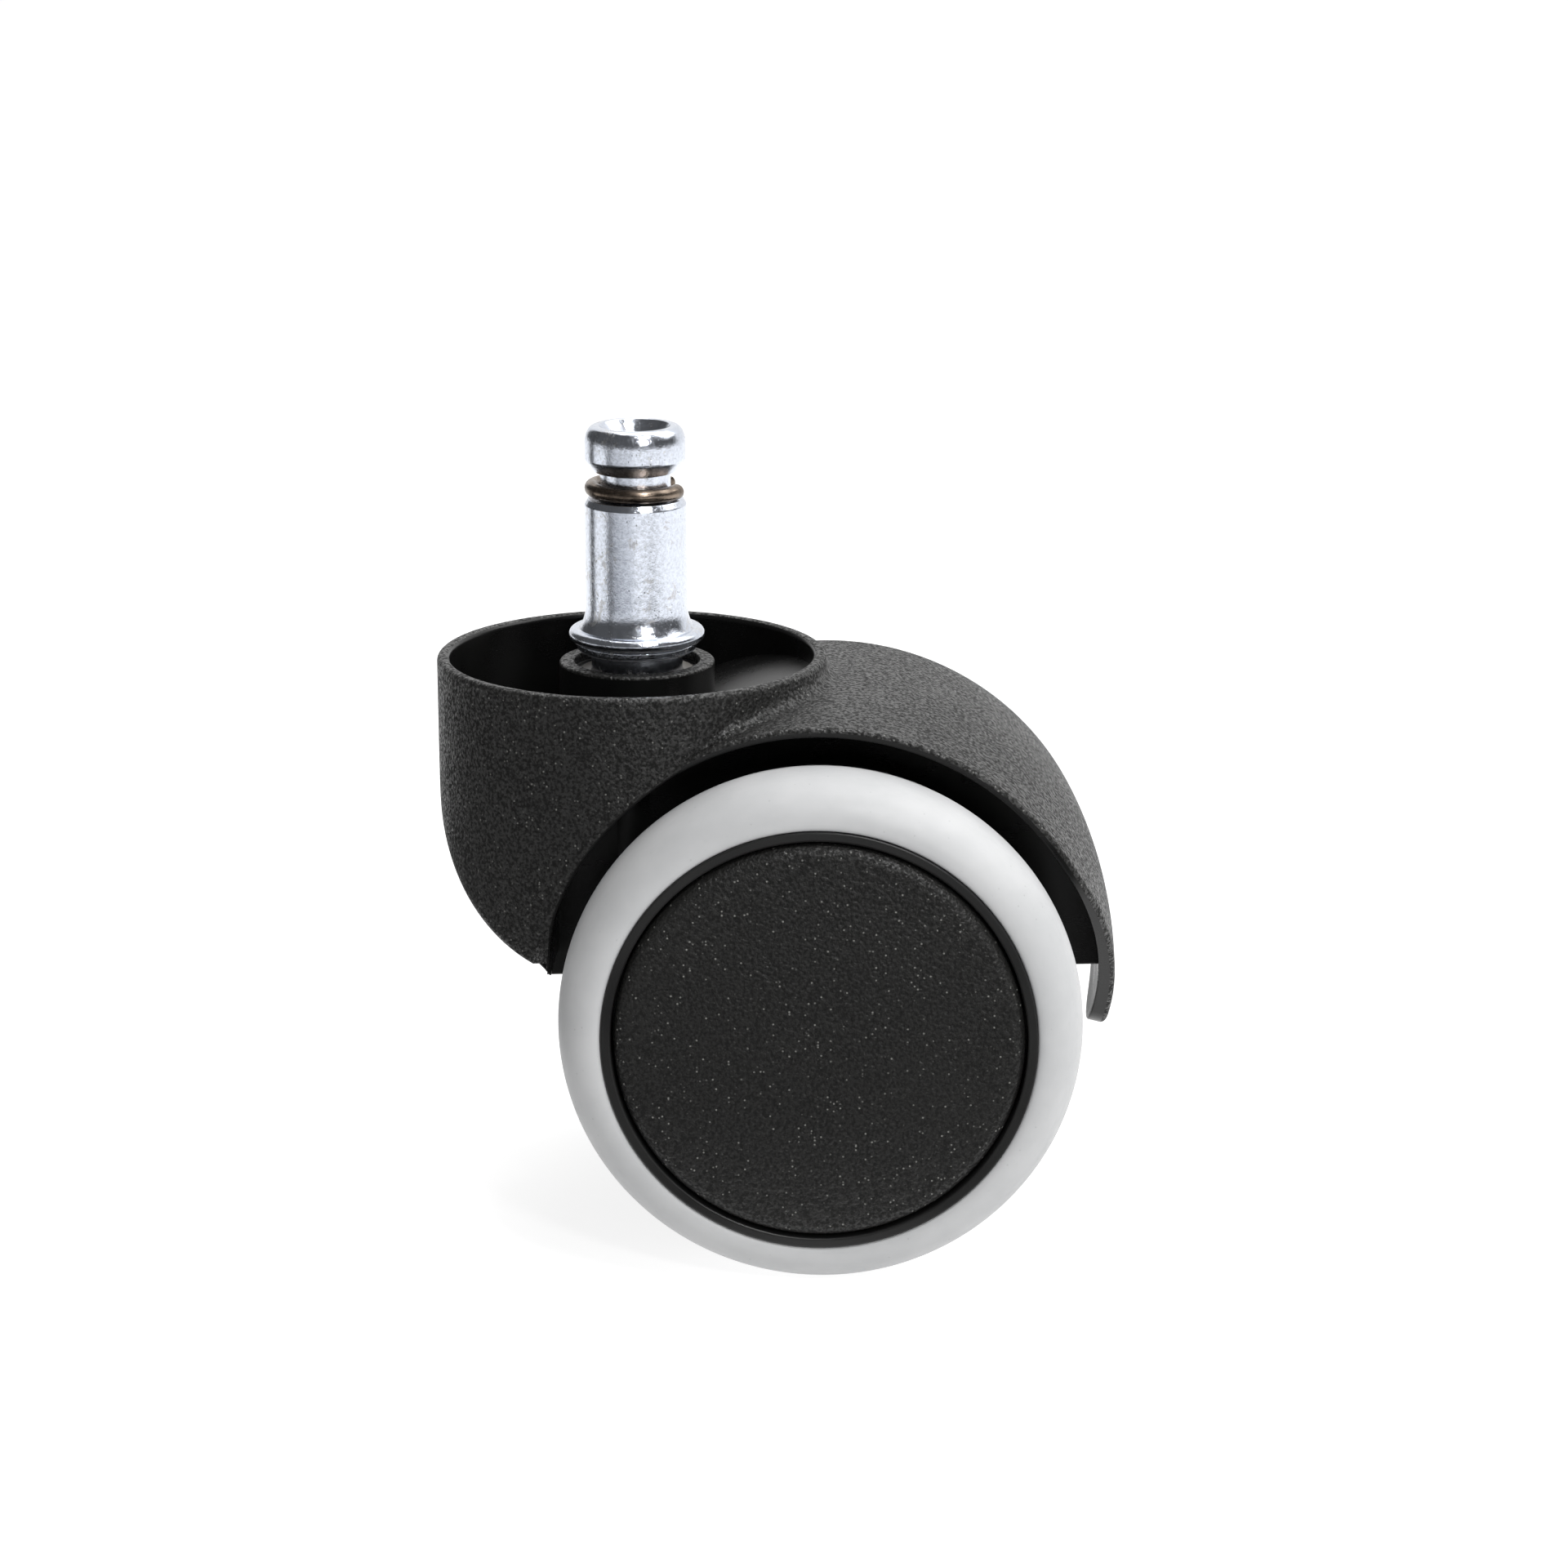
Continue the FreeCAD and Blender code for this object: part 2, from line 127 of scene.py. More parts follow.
# ---------------------------------------------------------------- stem group, mm
STEM_R = 5.0
FLARE_R = 5.65
FLARE_H = 2.9
SHOULDER_Z = 12.35
SHOULDER_TOP_Z = 12.95
SHOULDER_TOP_R = 4.65
NECK_R = 3.45
NECK_TOP_Z = 15.6
HEAD_FOOT_R = 4.0
HEAD_R = 4.95
HEAD_BAND_Z = (16.8, 18.4)
STEM_TOP_R = 3.85
RECESS_R = 3.5
RECESS_FLOOR_R = 2.4
RECESS_DEPTH = 1.5
FLANGE_R = STEM_HIGH[0]
FLANGE_T = 1.3
JOURNAL_R = 4.5
GROOVE_R = 3.6
GROOVE_Z = (-22.6, -21.7)
GRIP_WIRE_R = 0.75
GRIP_R = 4.23
GRIP_Z = 13.84
GRIP_TILT = math.radians(1.5)
GRIP_ENDS = np.radians([40.0, 347.0])

# ---------------------------------------------------------------- wheels, mm
WHEEL_R = (TYRE_HIGH[2] - TYRE_LOW[2]) / 2
FACE_Y = CORE_HIGH[1]
DRUM_INNER_Y = 9.6
TYRE_BACK_Y = TYRE_LOW[1]
TYRE_CROWN_Y = 22.2
TYRE_SEAT_R = 20.6
TYRE_FACE_R = 21.4
DRUM_R = 22.6
RIM_BORE_R = 19.65
SHOULDER_R = 18.9
CAP_SEAT_Y = CAP_LOW[1]
DISC_Y = (17.4, 19.2)
HUB_R = 7.2
HUB_Y = (CORE_LOW[1], 23.8)
HUB_BUSH_R = 4.6
SPOKES = 12
SPOKE_T = 1.4
HOOP_R = (12.4, 13.6)
CAP_R = (CAP_HIGH[2] - CAP_LOW[2]) / 2
CAP_EDGE = 1.3
CAP_DOME = 0.35
CAP_FACE_Y = CAP_HIGH[1] - CAP_DOME
CAP_T = 1.5

ROUND = 192
WHEEL_ROUND = 240
SHARP_ANGLE = math.radians(38)
HOLD = 0.06


# ---------------------------------------------------------------- surfaces as arrays
def grid_shell(grid, rows_wrap=False, columns_wrap=False, finish=0):
    """A grid of points as one welded shell: each cell of four neighbours is a face.

    Points that coincide, as on a pole or a seam, become one, and the faces are turned so that
    the volume they enclose is positive, which points them outwards. finish is the number of
    the material: one for all, or one for each row or each cell.
    """
    rows, columns = grid.shape[:2]
    row = np.arange(rows if rows_wrap else rows - 1)
    column = np.arange(columns if columns_wrap else columns - 1)
    r0, c0 = np.meshgrid(row, column, indexing="ij")
    r1, c1 = (r0 + 1) % rows, (c0 + 1) % columns
    around = [r0 * columns + c0, r1 * columns + c0, r1 * columns + c1, r0 * columns + c1]
    faces = np.stack(around, -1).reshape(-1, 4)
    points = grid.reshape(-1, 3)
    cells = np.round(points * 1e3 + 0.123)
    first, same = np.unique(cells, axis=0, return_index=True, return_inverse=True)[1:]
    points, faces = points[first], same.reshape(-1)[faces]
    a, b, c, d = (points[faces[:, k]] for k in range(4))
    volume = (a * (np.cross(b, c) + np.cross(c, d))).sum()
    if volume < 0:
        faces = faces[:, ::-1]
    finish = np.asarray(finish)
    if finish.ndim == 1:
        finish = finish[: len(row), None]
    return points, faces, np.broadcast_to(finish, r0.shape).reshape(-1)


def rounded(outline, closed=False, steps=5):
    """The path through corners (u, v, radius), each turned by an arc of its own radius.

    The arc touches both sides: its centre lies on the corner's bisector, radius / sin(half
    angle) from the corner. A point just beyond each end of the arc keeps flat sides flat.
    """
    outline = np.array(outline, float)
    path = []
    for index, (u, v, radius) in enumerate(outline):
        corner = np.array([u, v])
        inner = closed or 0 < index < len(outline) - 1
        if not (inner and radius > 0):
            path.append(corner[None])
            continue
        back = outline[index - 1, :2] - corner
        ahead = outline[(index + 1) % len(outline), :2] - corner
        back, ahead = back / np.linalg.norm(back), ahead / np.linalg.norm(ahead)
        half = math.acos(np.clip(back @ ahead, -1, 1)) / 2
        reach = radius / math.tan(half)
        centre = corner + (back + ahead) / np.linalg.norm(back + ahead) * radius / math.sin(half)
        start, end = corner + back * reach - centre, corner + ahead * reach - centre
        sweep = math.pi - 2 * half
        part = np.linspace(0, 1, steps + 1)[:, None]
        arc = centre + (np.sin((1 - part) * sweep) * start + np.sin(part * sweep) * end) / math.sin(sweep)
        path += [arc[:1] + back * HOLD, arc, arc[-1:] + ahead * HOLD]
    return np.vstack(path)


def lathe(profile, axis, closed=False, finish=0, segments=ROUND):
    """A profile (distance from the axis, place along it) carried round the stem's axis, "z", or
    the axle's, "y": each point keeps its distance and turns through the whole circle."""
    angle = np.arange(segments) * 2 * math.pi / segments
    radius, along = profile[:, :1], profile[:, 1:2] + 0 * angle
    if axis == "z":
        grid = np.stack([radius * np.cos(angle), radius * np.sin(angle), along], -1)
    else:
        grid = np.stack([AXLE_X + radius * np.cos(angle), along, AXLE_Z + radius * np.sin(angle)], -1)
    return grid_shell(grid, closed, True, finish)


def slab(outline, low, high, edge=0.2, turn=0.0, finish=0):
    """A flat outline in X and Z given thickness along Y, with round edges and flat faces.

    Rows run from the middle of one face, out to the outline drawn in by the edge's radius,
    round the edge, across, and back to the middle of the other face.
    """
    middle = outline.mean(axis=0)
    tangent = np.roll(outline, -1, axis=0) - np.roll(outline, 1, axis=0)
    tangent /= np.linalg.norm(tangent, axis=1)[:, None]
    inward = np.stack([-tangent[:, 1], tangent[:, 0]], -1)
    if ((middle - outline) * inward).sum() < 0:
        inward = -inward
    quarter = np.linspace(0, math.pi / 2, 5)
    inset = np.concatenate([[edge + HOLD], edge * (1 - np.sin(quarter))])
    rise = np.concatenate([[0.0], edge * (1 - np.cos(quarter))])
    rows = [outline * 0 + middle] + [outline + inward * value for value in inset]
    rows = np.array(rows + rows[::-1])
    y = np.concatenate([[low], low + rise, high - rise[::-1], [high]])
    cos, sin = math.cos(turn), math.sin(turn)
    away = rows - [AXLE_X, AXLE_Z]
    x = AXLE_X + away[..., 0] * cos - away[..., 1] * sin
    z = AXLE_Z + away[..., 0] * sin + away[..., 1] * cos
    return grid_shell(np.stack([x, y[:, None] + 0 * x, z], -1), False, True, finish)


def make_piece(name, body, shells, materials, slot, *nodes):
    """Joins shells into one mesh piece that rides on a body and stands for CAD nodes."""
    starts = np.cumsum([0] + [len(points) for points, _, _ in shells])
    points = np.vstack([shell[0] for shell in shells])
    faces = np.vstack([shell[1] + start for shell, start in zip(shells, starts)])
    finish = np.concatenate([shell[2] for shell in shells])
    repeat = faces == np.roll(faces, -1, axis=1)
    count = repeat.sum(axis=1)
    kept = (np.argmax(repeat[count == 1], axis=1)[:, None] + [1, 2, 3]) % 4
    triangles = np.take_along_axis(faces[count == 1], kept, axis=1)
    mesh = bpy.data.meshes.new(name)
    mesh.from_pydata((points * MM).tolist(), [], faces[count == 0].tolist() + triangles.tolist())
    order = np.concatenate([finish[count == 0], finish[count == 1]]).astype(np.int32)
    mesh.polygons.foreach_set("material_index", order)
    mesh.shade_smooth()
    mesh.set_sharp_from_angle(angle=SHARP_ANGLE)
    piece = bpy.data.objects.new(name, mesh)
    bpy.context.scene.collection.objects.link(piece)
    for material in materials:
        mesh.materials.append(material)
    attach(piece, body)
    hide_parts(*nodes)
    return piece


# ---------------------------------------------------------------- node materials
class Finish:
    """A node material in the making. Its bsdf is the Principled shader, and place is the
    Object coordinates in millimetres."""

    def __init__(self, name, **values):
        self.material = bpy.data.materials.new(name)
        self.material.use_nodes = True
        self.tree = self.material.node_tree
        self.bsdf = self.tree.nodes["Principled BSDF"]
        for key, value in values.items():
            socket = key.replace("_", " ").title().replace("Ior", "IOR")
            self.bsdf.inputs[socket].default_value = value
        coordinates = self.tree.nodes.new("ShaderNodeTexCoord").outputs["Object"]
        scale = (1 / MM, 1 / MM, 1 / MM)
        self.place = self.add("ShaderNodeVectorMath", [coordinates, scale], operation="MULTIPLY")

    def add(self, kind, inputs=(), output=0, **settings):
        """A node with its settings and inputs by order or name; returns one of its outputs."""
        node = self.tree.nodes.new(kind)
        for key, value in settings.items():
            setattr(node, key, value)
        pairs = inputs.items() if isinstance(inputs, dict) else enumerate(inputs)
        for key, value in pairs:
            if isinstance(value, bpy.types.NodeSocket):
                self.tree.links.new(value, node.inputs[key])
            elif value is not None:
                node.inputs[key].default_value = value
        return node.outputs[output]

    def math(self, operation, *values):
        return self.add("ShaderNodeMath", values, operation=operation)

    def noise(self, size, detail=2.0, rough=0.5, stretch=(1, 1, 1), distortion=0.0):
        """Noise whose lumps are about size millimetres across."""
        place = self.add("ShaderNodeVectorMath", [self.place, stretch], operation="MULTIPLY")
        sockets = {"Vector": place, "Scale": 0.5 / size, "Detail": detail}
        sockets.update({"Roughness": rough, "Distortion": distortion})
        return self.add("ShaderNodeTexNoise", sockets)

    def cells(self, size, feature="F1", output="Distance", randomness=1.0):
        """Cells about size millimetres across."""
        sockets = {"Vector": self.place, "Scale": 1.0 / size, "Randomness": randomness}
        return self.add("ShaderNodeTexVoronoi", sockets, output, feature=feature)

    def band(self, value, low, high, to_low=0.0, to_high=1.0):
        """The value's range from low to high, carried smoothly to a new range."""
        sockets = [value, low, high, to_low, to_high]
        return self.add("ShaderNodeMapRange", sockets, interpolation_type="SMOOTHSTEP")

    def mix(self, amount, a, b):
        """Two colours mixed by an amount."""
        node = self.tree.nodes.new("ShaderNodeMix")
        node.data_type = "RGBA"
        for key, kind, value in (("Factor", "VALUE", amount), ("A", "RGBA", a), ("B", "RGBA", b)):
            socket = next(s for s in node.inputs if s.name == key and s.type == kind)
            if isinstance(value, bpy.types.NodeSocket):
                self.tree.links.new(value, socket)
            else:
                socket.default_value = value
        return next(s for s in node.outputs if s.type == "RGBA")

    def bump(self, height, strength, depth, under=None):
        """A bump of a height field whose full swing is depth millimetres."""
        sockets = {"Strength": strength, "Distance": depth * MM, "Height": height, "Normal": under}
        return self.add("ShaderNodeBump", sockets)

    def wear(self, colour, roughness=None, normal=None, shine=None):
        """Joins the worked-out colour, roughness, normal and shine to the shader."""
        names = ("Base Color", "Roughness", "Normal", "Specular IOR Level")
        for key, socket in zip(names, (colour, roughness, normal, shine)):
            if socket is not None:
                self.tree.links.new(socket, self.bsdf.inputs[key])
        return self.material


def grained_plastic(name, painted_glint_paleness, shine_range):
    """Black plastic from a spark-eroded mould: pebbly grain, with pale spots painted into the colour as
    painted highlights (glints).

    The second argument is how pale the painted highlights are, and shine_range the specular level of dull
    and shiny spots.
    """
    f = Finish(name)
    pebbles = f.cells(0.38, "SMOOTH_F1")
    fine = f.noise(0.10, 3.0, 0.6)
    coarse = f.noise(0.17, 2.0, 0.55)
    swell = f.math("ADD", f.math("MULTIPLY", coarse, 0.9), f.math("MULTIPLY", fine, 0.35))
    height = f.math("ADD", f.math("MULTIPLY", pebbles, -0.6), swell)
    drift = f.noise(9.0, 3.0, 0.6)
    tone = f.math("ADD", f.math("MULTIPLY", f.band(coarse, 0.3, 0.7), 0.55), f.math("MULTIPLY", drift, 0.6))
    base = f.mix(f.band(tone, 0.15, 0.95), (0.004, 0.004, 0.0036, 1), (0.0095, 0.0093, 0.0086, 1))
    # Painted highlight: a few random grain cells get pale colour spots that stand in for glints, and are a
    # little less rough.
    pick = f.add("ShaderNodeSeparateColor", [f.cells(0.30, output="Color")])
    painted_glint_mask = f.math("MULTIPLY", f.band(pick, 0.90, 0.97), f.band(f.cells(0.30), 0.42, 0.16))
    colour = f.mix(f.math("MULTIPLY", painted_glint_mask, painted_glint_paleness), base, (0.16, 0.16, 0.15, 1))
    ground = f.band(f.math("ADD", coarse, f.math("MULTIPLY", drift, 0.2)), 0.45, 0.75, 0.68, 0.33)
    roughness = f.math("SUBTRACT", ground, f.math("MULTIPLY", painted_glint_mask, 0.15))
    shine = f.band(f.math("ADD", coarse, f.math("MULTIPLY", fine, 0.5)), 0.62, 0.88, *shine_range)
    return f.wear(colour, roughness, f.bump(height, 1.0, 0.15), shine)


def smooth_plastic(name, dark, light, rough, specular):
    """Moulded black plastic with a soft gloss, faint flow marks and fine scuffs."""
    f = Finish(name, specular_ior_level=specular)
    drift = f.noise(6.0, 3.0, 0.6)
    scuffs = f.noise(0.35, 4.0, 0.65, stretch=(1.0, 1.0, 5.0))
    colour = f.mix(f.band(drift, 0.3, 0.7), dark, light)
    gloss = f.band(drift, 0.3, 0.7, rough - 0.05, rough + 0.06)
    roughness = f.math("ADD", gloss, f.math("MULTIPLY", scuffs, 0.08))
    return f.wear(colour, roughness, f.bump(scuffs, 0.25, 0.02))


def tyre_rubber():
    """Soft light grey tread: satin, faintly cloudy, with fine rubbed marks."""
    f = Finish("soft_grey_tread", specular_ior_level=0.35)
    cloud = f.noise(5.0, 4.0, 0.6)
    rub = f.noise(0.7, 5.0, 0.7, stretch=(1.0, 3.0, 1.0))
    specks = f.band(f.cells(1.3), 0.10, 0.04)
    clean = f.mix(f.band(cloud, 0.3, 0.7), (0.375, 0.379, 0.384, 1), (0.425, 0.428, 0.432, 1))
    rubbed = f.mix(f.math("MULTIPLY", f.band(rub, 0.62, 0.8), 0.35), clean, (0.30, 0.305, 0.31, 1))
    colour = f.mix(f.math("MULTIPLY", specks, 0.3), rubbed, (0.2, 0.2, 0.2, 1))
    roughness = f.band(rub, 0.3, 0.75, 0.42, 0.58)
    return f.wear(colour, roughness, f.bump(rub, 0.35, 0.03))


def zinc_plate():
    """Bright bluish zinc plating: mottled, finely pitted, with faint brownish stains."""
    f = Finish("bright_zinc_plate", metallic=1.0)
    mottle = f.noise(0.16, 4.0, 0.7)
    ripple = f.noise(0.5, 3.0, 0.65)
    pits = f.band(f.cells(0.5), 0.16, 0.05)
    pits = f.math("MULTIPLY", pits, f.band(f.noise(1.3, 2.0), 0.5, 0.6))
    stain = f.math("MULTIPLY", f.band(f.noise(1.1, 5.0, 0.7, distortion=0.8), 0.57, 0.64), 0.4)
    clean = f.mix(f.band(mottle, 0.35, 0.7), (0.70, 0.74, 0.82, 1), (0.61, 0.645, 0.72, 1))
    stained = f.mix(stain, clean, (0.50, 0.46, 0.41, 1))
    colour = f.mix(f.math("MULTIPLY", pits, 0.7), stained, (0.16, 0.17, 0.19, 1))
    roughness = f.math("ADD", f.band(mottle, 0.3, 0.7, 0.1, 0.26), f.math("MULTIPLY", stain, 0.3))
    under = f.bump(ripple, 0.5, 0.05)
    return f.wear(colour, roughness, f.bump(f.math("SUBTRACT", mottle, pits), 0.6, 0.035, under))


def spring_steel():
    """Oil-tempered spring wire: dark bronze with drawn lines along it and paler rubbed spots."""
    f = Finish("bronzed_spring_steel", metallic=1.0)
    tint = f.noise(1.1, 4.0, 0.65)
    lines = f.noise(0.18, 3.0, 0.6, stretch=(0.35, 0.35, 3.0))
    colour = f.mix(f.band(tint, 0.3, 0.72), (0.055, 0.042, 0.033, 1), (0.27, 0.215, 0.17, 1))
    roughness = f.band(lines, 0.3, 0.7, 0.2, 0.38)
    return f.wear(colour, roughness, f.bump(lines, 0.35, 0.02))


def bare_steel():
    """Ground bright steel with fine turned lines."""
    f = Finish("ground_steel", metallic=1.0)
    lines = f.noise(0.12, 3.0, 0.6, stretch=(0.3, 4.0, 0.3))
    tint = f.noise(2.0, 3.0)
    colour = f.mix(f.band(tint, 0.3, 0.7), (0.52, 0.53, 0.55, 1), (0.66, 0.67, 0.68, 1))
    return f.wear(colour, f.band(lines, 0.3, 0.7, 0.2, 0.34), f.bump(lines, 0.3, 0.01))


def bush_plastic():
    """Greased, greyed acetal for the bushes."""
    f = Finish("greased_acetal", specular_ior_level=0.5)
    cloud = f.noise(2.0, 3.0)
    colour = f.mix(f.band(cloud, 0.3, 0.7), (0.20, 0.185, 0.165, 1), (0.27, 0.255, 0.235, 1))
    return f.wear(colour, f.band(cloud, 0.3, 0.7, 0.28, 0.4), f.bump(f.noise(0.3, 3.0), 0.2, 0.02))


# The second number of each is how pale its painted highlights are.
HOOD_GRAIN = grained_plastic("grained_black_nylon_skin", 0.8, (0.22, 0.66))
CAP_GRAIN = grained_plastic("grained_black_cap_skin", 1.0, (0.28, 0.5))
INNER_BLACK = smooth_plastic(
    "glossy_black_inside", (0.002, 0.002, 0.002, 1), (0.004, 0.004, 0.0038, 1), 0.24, 0.3
)
SATIN_BLACK = smooth_plastic(
    "satin_black_plastic", (0.006, 0.006, 0.006, 1), (0.010, 0.010, 0.0098, 1), 0.36, 0.4
)
TREAD = tyre_rubber()
ZINC = zinc_plate()
SPRING = spring_steel()
STEEL = bare_steel()
ACETAL = bush_plastic()


# ---------------------------------------------------------------- hood
def hood_radius(y):
    """Distance of the hood's crowned top from the axle: highest in the middle and lower by the
    crown at both sides, along a circle's arc."""
    bow = (HOOD_HALF_W**2 + HOOD_CROWN**2) / (2 * HOOD_CROWN)
    side = np.minimum(np.abs(y), HOOD_HALF_W)
    return HOOD_EDGE_R + HOOD_CROWN - (bow - np.sqrt(bow**2 - side**2))


def arch_radius(z):
    """Radius of the arch's inside at a height: it draws in smoothly by a small step at the foot."""
    start, full = FOOT_STEP_Z
    share = np.clip((start - z) / (start - full), 0, 1)
    return ARCH_R - FOOT_STEP * share * share * (3 - 2 * share)


def chin_distance(angle):
    """Distance from the axle to the chin's round surface, along a ray at an angle."""
    along = (CHIN_X - AXLE_X) * np.cos(angle) + (CHIN_Z - AXLE_Z) * np.sin(angle)
    apart = (CHIN_X - AXLE_X) ** 2 + (CHIN_Z - AXLE_Z) ** 2
    return along + np.sqrt(np.maximum(along**2 - apart + CHIN_R**2, 0))


def hood_edge_line():
    """Half of the hood's edge as rows of (y, height angle times radius), from foot to tip, and
    the line down the middle that each row starts from.

    Inside the cup the edge stays behind the cup's wall. The tail's edge is an arc into a
    straight taper that touches the round tip.
    """
    foot = math.pi - math.asin((FOOT_Z - AXLE_Z) / HOOD_MID_R)
    tip = np.array([0.0, TAIL_TIP_Z + TAIL_TIP_R])
    rise = TAIL_TOP_Z - tip[1]
    taper = math.acos(TAIL_TIP_R / math.hypot(rise, HOOD_HALF_W)) - math.atan2(rise, HOOD_HALF_W)
    start = np.array([HOOD_HALF_W - TAIL_CORNER_R, TAIL_TOP_Z + TAIL_CORNER_R * math.tan(taper / 2)])
    turn = -np.linspace(0, taper, 16)[:, None]
    corner = start + TAIL_CORNER_R * np.hstack([np.cos(turn), np.sin(turn)])
    touch = tip + TAIL_TIP_R * np.array([math.cos(taper), -math.sin(taper)])
    side = corner[-1] + (touch - corner[-1]) * np.linspace(0, 1, 26)[1:, None]
    turn = -np.linspace(taper, math.pi / 2, 20)[1:, None]
    end = tip + TAIL_TIP_R * np.hstack([np.cos(turn), np.sin(turn)])
    tail = np.vstack([corner, side, end])
    tail_angle = np.arcsin((tail[:, 1] - AXLE_Z) / HOOD_MID_R)
    arch_angle = np.linspace(foot, tail_angle[0], 120)[:-1]
    x = AXLE_X + HOOD_MID_R * np.cos(arch_angle)
    z = AXLE_Z + HOOD_MID_R * np.sin(arch_angle)
    draw_in = HIDE_IN + HIDE_LOW_IN * np.clip((HIDE_Z - z) / HIDE_FALL, 0, 1)
    in_cup = np.sqrt(np.maximum(CUP_R**2 - (x - CUP_X) ** 2, 0)) - draw_in
    half = np.where(x < CUP_X, np.minimum(HOOD_HALF_W, in_cup), HOOD_HALF_W)
    edge = np.vstack([np.stack([half, arch_angle], -1), np.stack([tail[:, 0], tail_angle], -1)])
    edge[:, 1] *= HOOD_MID_R
    middle = np.stack([edge[:, 0] * 0, edge[:, 1]], -1)
    taper_rows = slice(len(arch_angle), len(arch_angle) + len(corner) + len(side))
    tip_height = math.asin((tip[1] - AXLE_Z) / HOOD_MID_R) * HOOD_MID_R
    first = edge[taper_rows.start, 1]
    middle[taper_rows, 1] = np.linspace(first, tip_height, taper_rows.stop - taper_rows.start)
    middle[taper_rows.stop :, 1] = tip_height
    return edge, middle


def hood_shell():
    """Hood and tail: a section carried along the arch from foot to tip.

    Each section runs out over the crowned top, round the outer corner of the lip, down its flat
    side, round the small inner corner and back under the arch, on both sides of the middle. At
    the foot the top keeps just inside the chin, and one point closes the end.
    """
    edge, middle = hood_edge_line()
    along = np.gradient(edge, axis=0)
    along /= np.linalg.norm(along, axis=1)[:, None]
    inward = np.stack([along[:, 1], -along[:, 0]], -1)
    inward[-1] = (0, 1)
    row_angle = edge[:, 1] / HOOD_MID_R
    row_z = AXLE_Z + HOOD_MID_R * np.sin(row_angle)
    arch = np.where(row_angle > math.pi / 2, arch_radius(row_z), ARCH_R)
    foot_t = FOOT_T * np.clip((row_z - FOOT_Z) / FOOT_TAPER, 0.1, 1)
    limit = np.maximum(chin_distance(row_angle) - FOOT_SKIN, arch + foot_t)
    limit = np.where(row_angle > FOOT_ANGLE, limit, CUP_R * 3)
    thick = np.minimum(hood_radius(edge[:, 0]), limit) - arch
    arch = arch[:, None]
    outer_r = np.minimum(LIP_OUTER, 0.45 * thick)[:, None]
    inner_r = np.minimum(LIP_INNER, 0.2 * thick)[:, None]
    quarter = np.linspace(0, math.pi / 2, BEND_STEPS)[None]
    bend_in = outer_r * (1 - np.sin(quarter))
    bend_out = inner_r * (1 - np.cos(quarter[:, ::2]))
    share = np.linspace(0, 1, FLAT_STEPS)[None, :, None]
    flat = middle[:, None] + (edge + inward * (outer_r + 0.15) - middle)[:, None] * share
    at_edge = edge[:, None] + inward[:, None] * bend_in[..., None]
    at_side = np.repeat(edge[:, None], SIDE_STEPS, axis=1)
    at_inner = edge[:, None] + inward[:, None] * bend_out[..., None]
    sheet = np.concatenate([flat, at_edge, at_side, at_inner, flat[:, ::-1]], axis=1)
    top = np.minimum(hood_radius(sheet[..., 0]), limit[:, None])
    bend = slice(FLAT_STEPS, FLAT_STEPS + BEND_STEPS)
    corner_top = top[:, bend.stop - 1 : bend.stop] - outer_r
    corner_low = arch + inner_r
    side_share = np.linspace(0.25, 0.75, SIDE_STEPS)[None]
    radius = np.concatenate(
        [
            top[:, : bend.start],
            top[:, bend] - outer_r * (1 - np.cos(quarter)),
            corner_top + (corner_low - corner_top) * side_share,
            arch + inner_r * (1 - np.sin(quarter[:, ::2])),
            np.repeat(arch, FLAT_STEPS, axis=1),
        ],
        axis=1,
    )
    both = np.concatenate([sheet, sheet[:, -2:0:-1] * [-1, 1]], axis=1)
    radius = np.concatenate([radius, radius[:, -2:0:-1]], axis=1)
    angle = both[..., 1] / HOOD_MID_R
    grid = np.stack([AXLE_X + radius * np.cos(angle), both[..., 0], AXLE_Z + radius * np.sin(angle)], -1)
    under_middle = sheet.shape[1] - 1
    plug = grid[:1] * 0 + (grid[:1, :1] + grid[:1, under_middle : under_middle + 1]) / 2
    grid = np.concatenate([plug, grid], axis=0)
    columns = grid.shape[1]
    column = np.arange(columns)
    grained = (column < bend.stop - 1) | (column > columns - bend.stop)
    centre = (grid[1:] + grid[:-1]) / 2
    inside = np.hypot(centre[..., 0] - CUP_X, centre[..., 1]) < CUP_R - CUP_WALL / 2
    return grid_shell(grid, False, True, np.where(inside | ~grained[None], 1, 0))


def cup_radius(turn, z, wall_in=0.0):
    """Distance of the cup's wall from its upright axis at a turn and a height.

    It is the smaller of the round cup's radius and the distance to the chin, a rounded foot
    turned about a line along Y, with the two run softly together low down on the sides.
    """
    cup = CUP_R - wall_in
    chin_r = CHIN_R - wall_in
    reach = np.sqrt(np.maximum(chin_r**2 - np.minimum(z - CHIN_Z, 0) ** 2, 0))
    leftward = -np.cos(turn)
    chin = np.where(leftward > 1e-3, (CUP_X - CHIN_X + reach) / np.maximum(leftward, 1e-3), 1e3)
    start, full = CHIN_BLEND_Z
    low = np.clip((start - z) / (start - full), 0, 1)
    blend = CHIN_BLEND * np.abs(np.sin(turn)) * low * low * (3 - 2 * low) + 1e-3
    share = np.clip(0.5 + 0.5 * (chin - cup) / blend, 0, 1)
    return chin * (1 - share) + cup * share - blend * share * (1 - share)


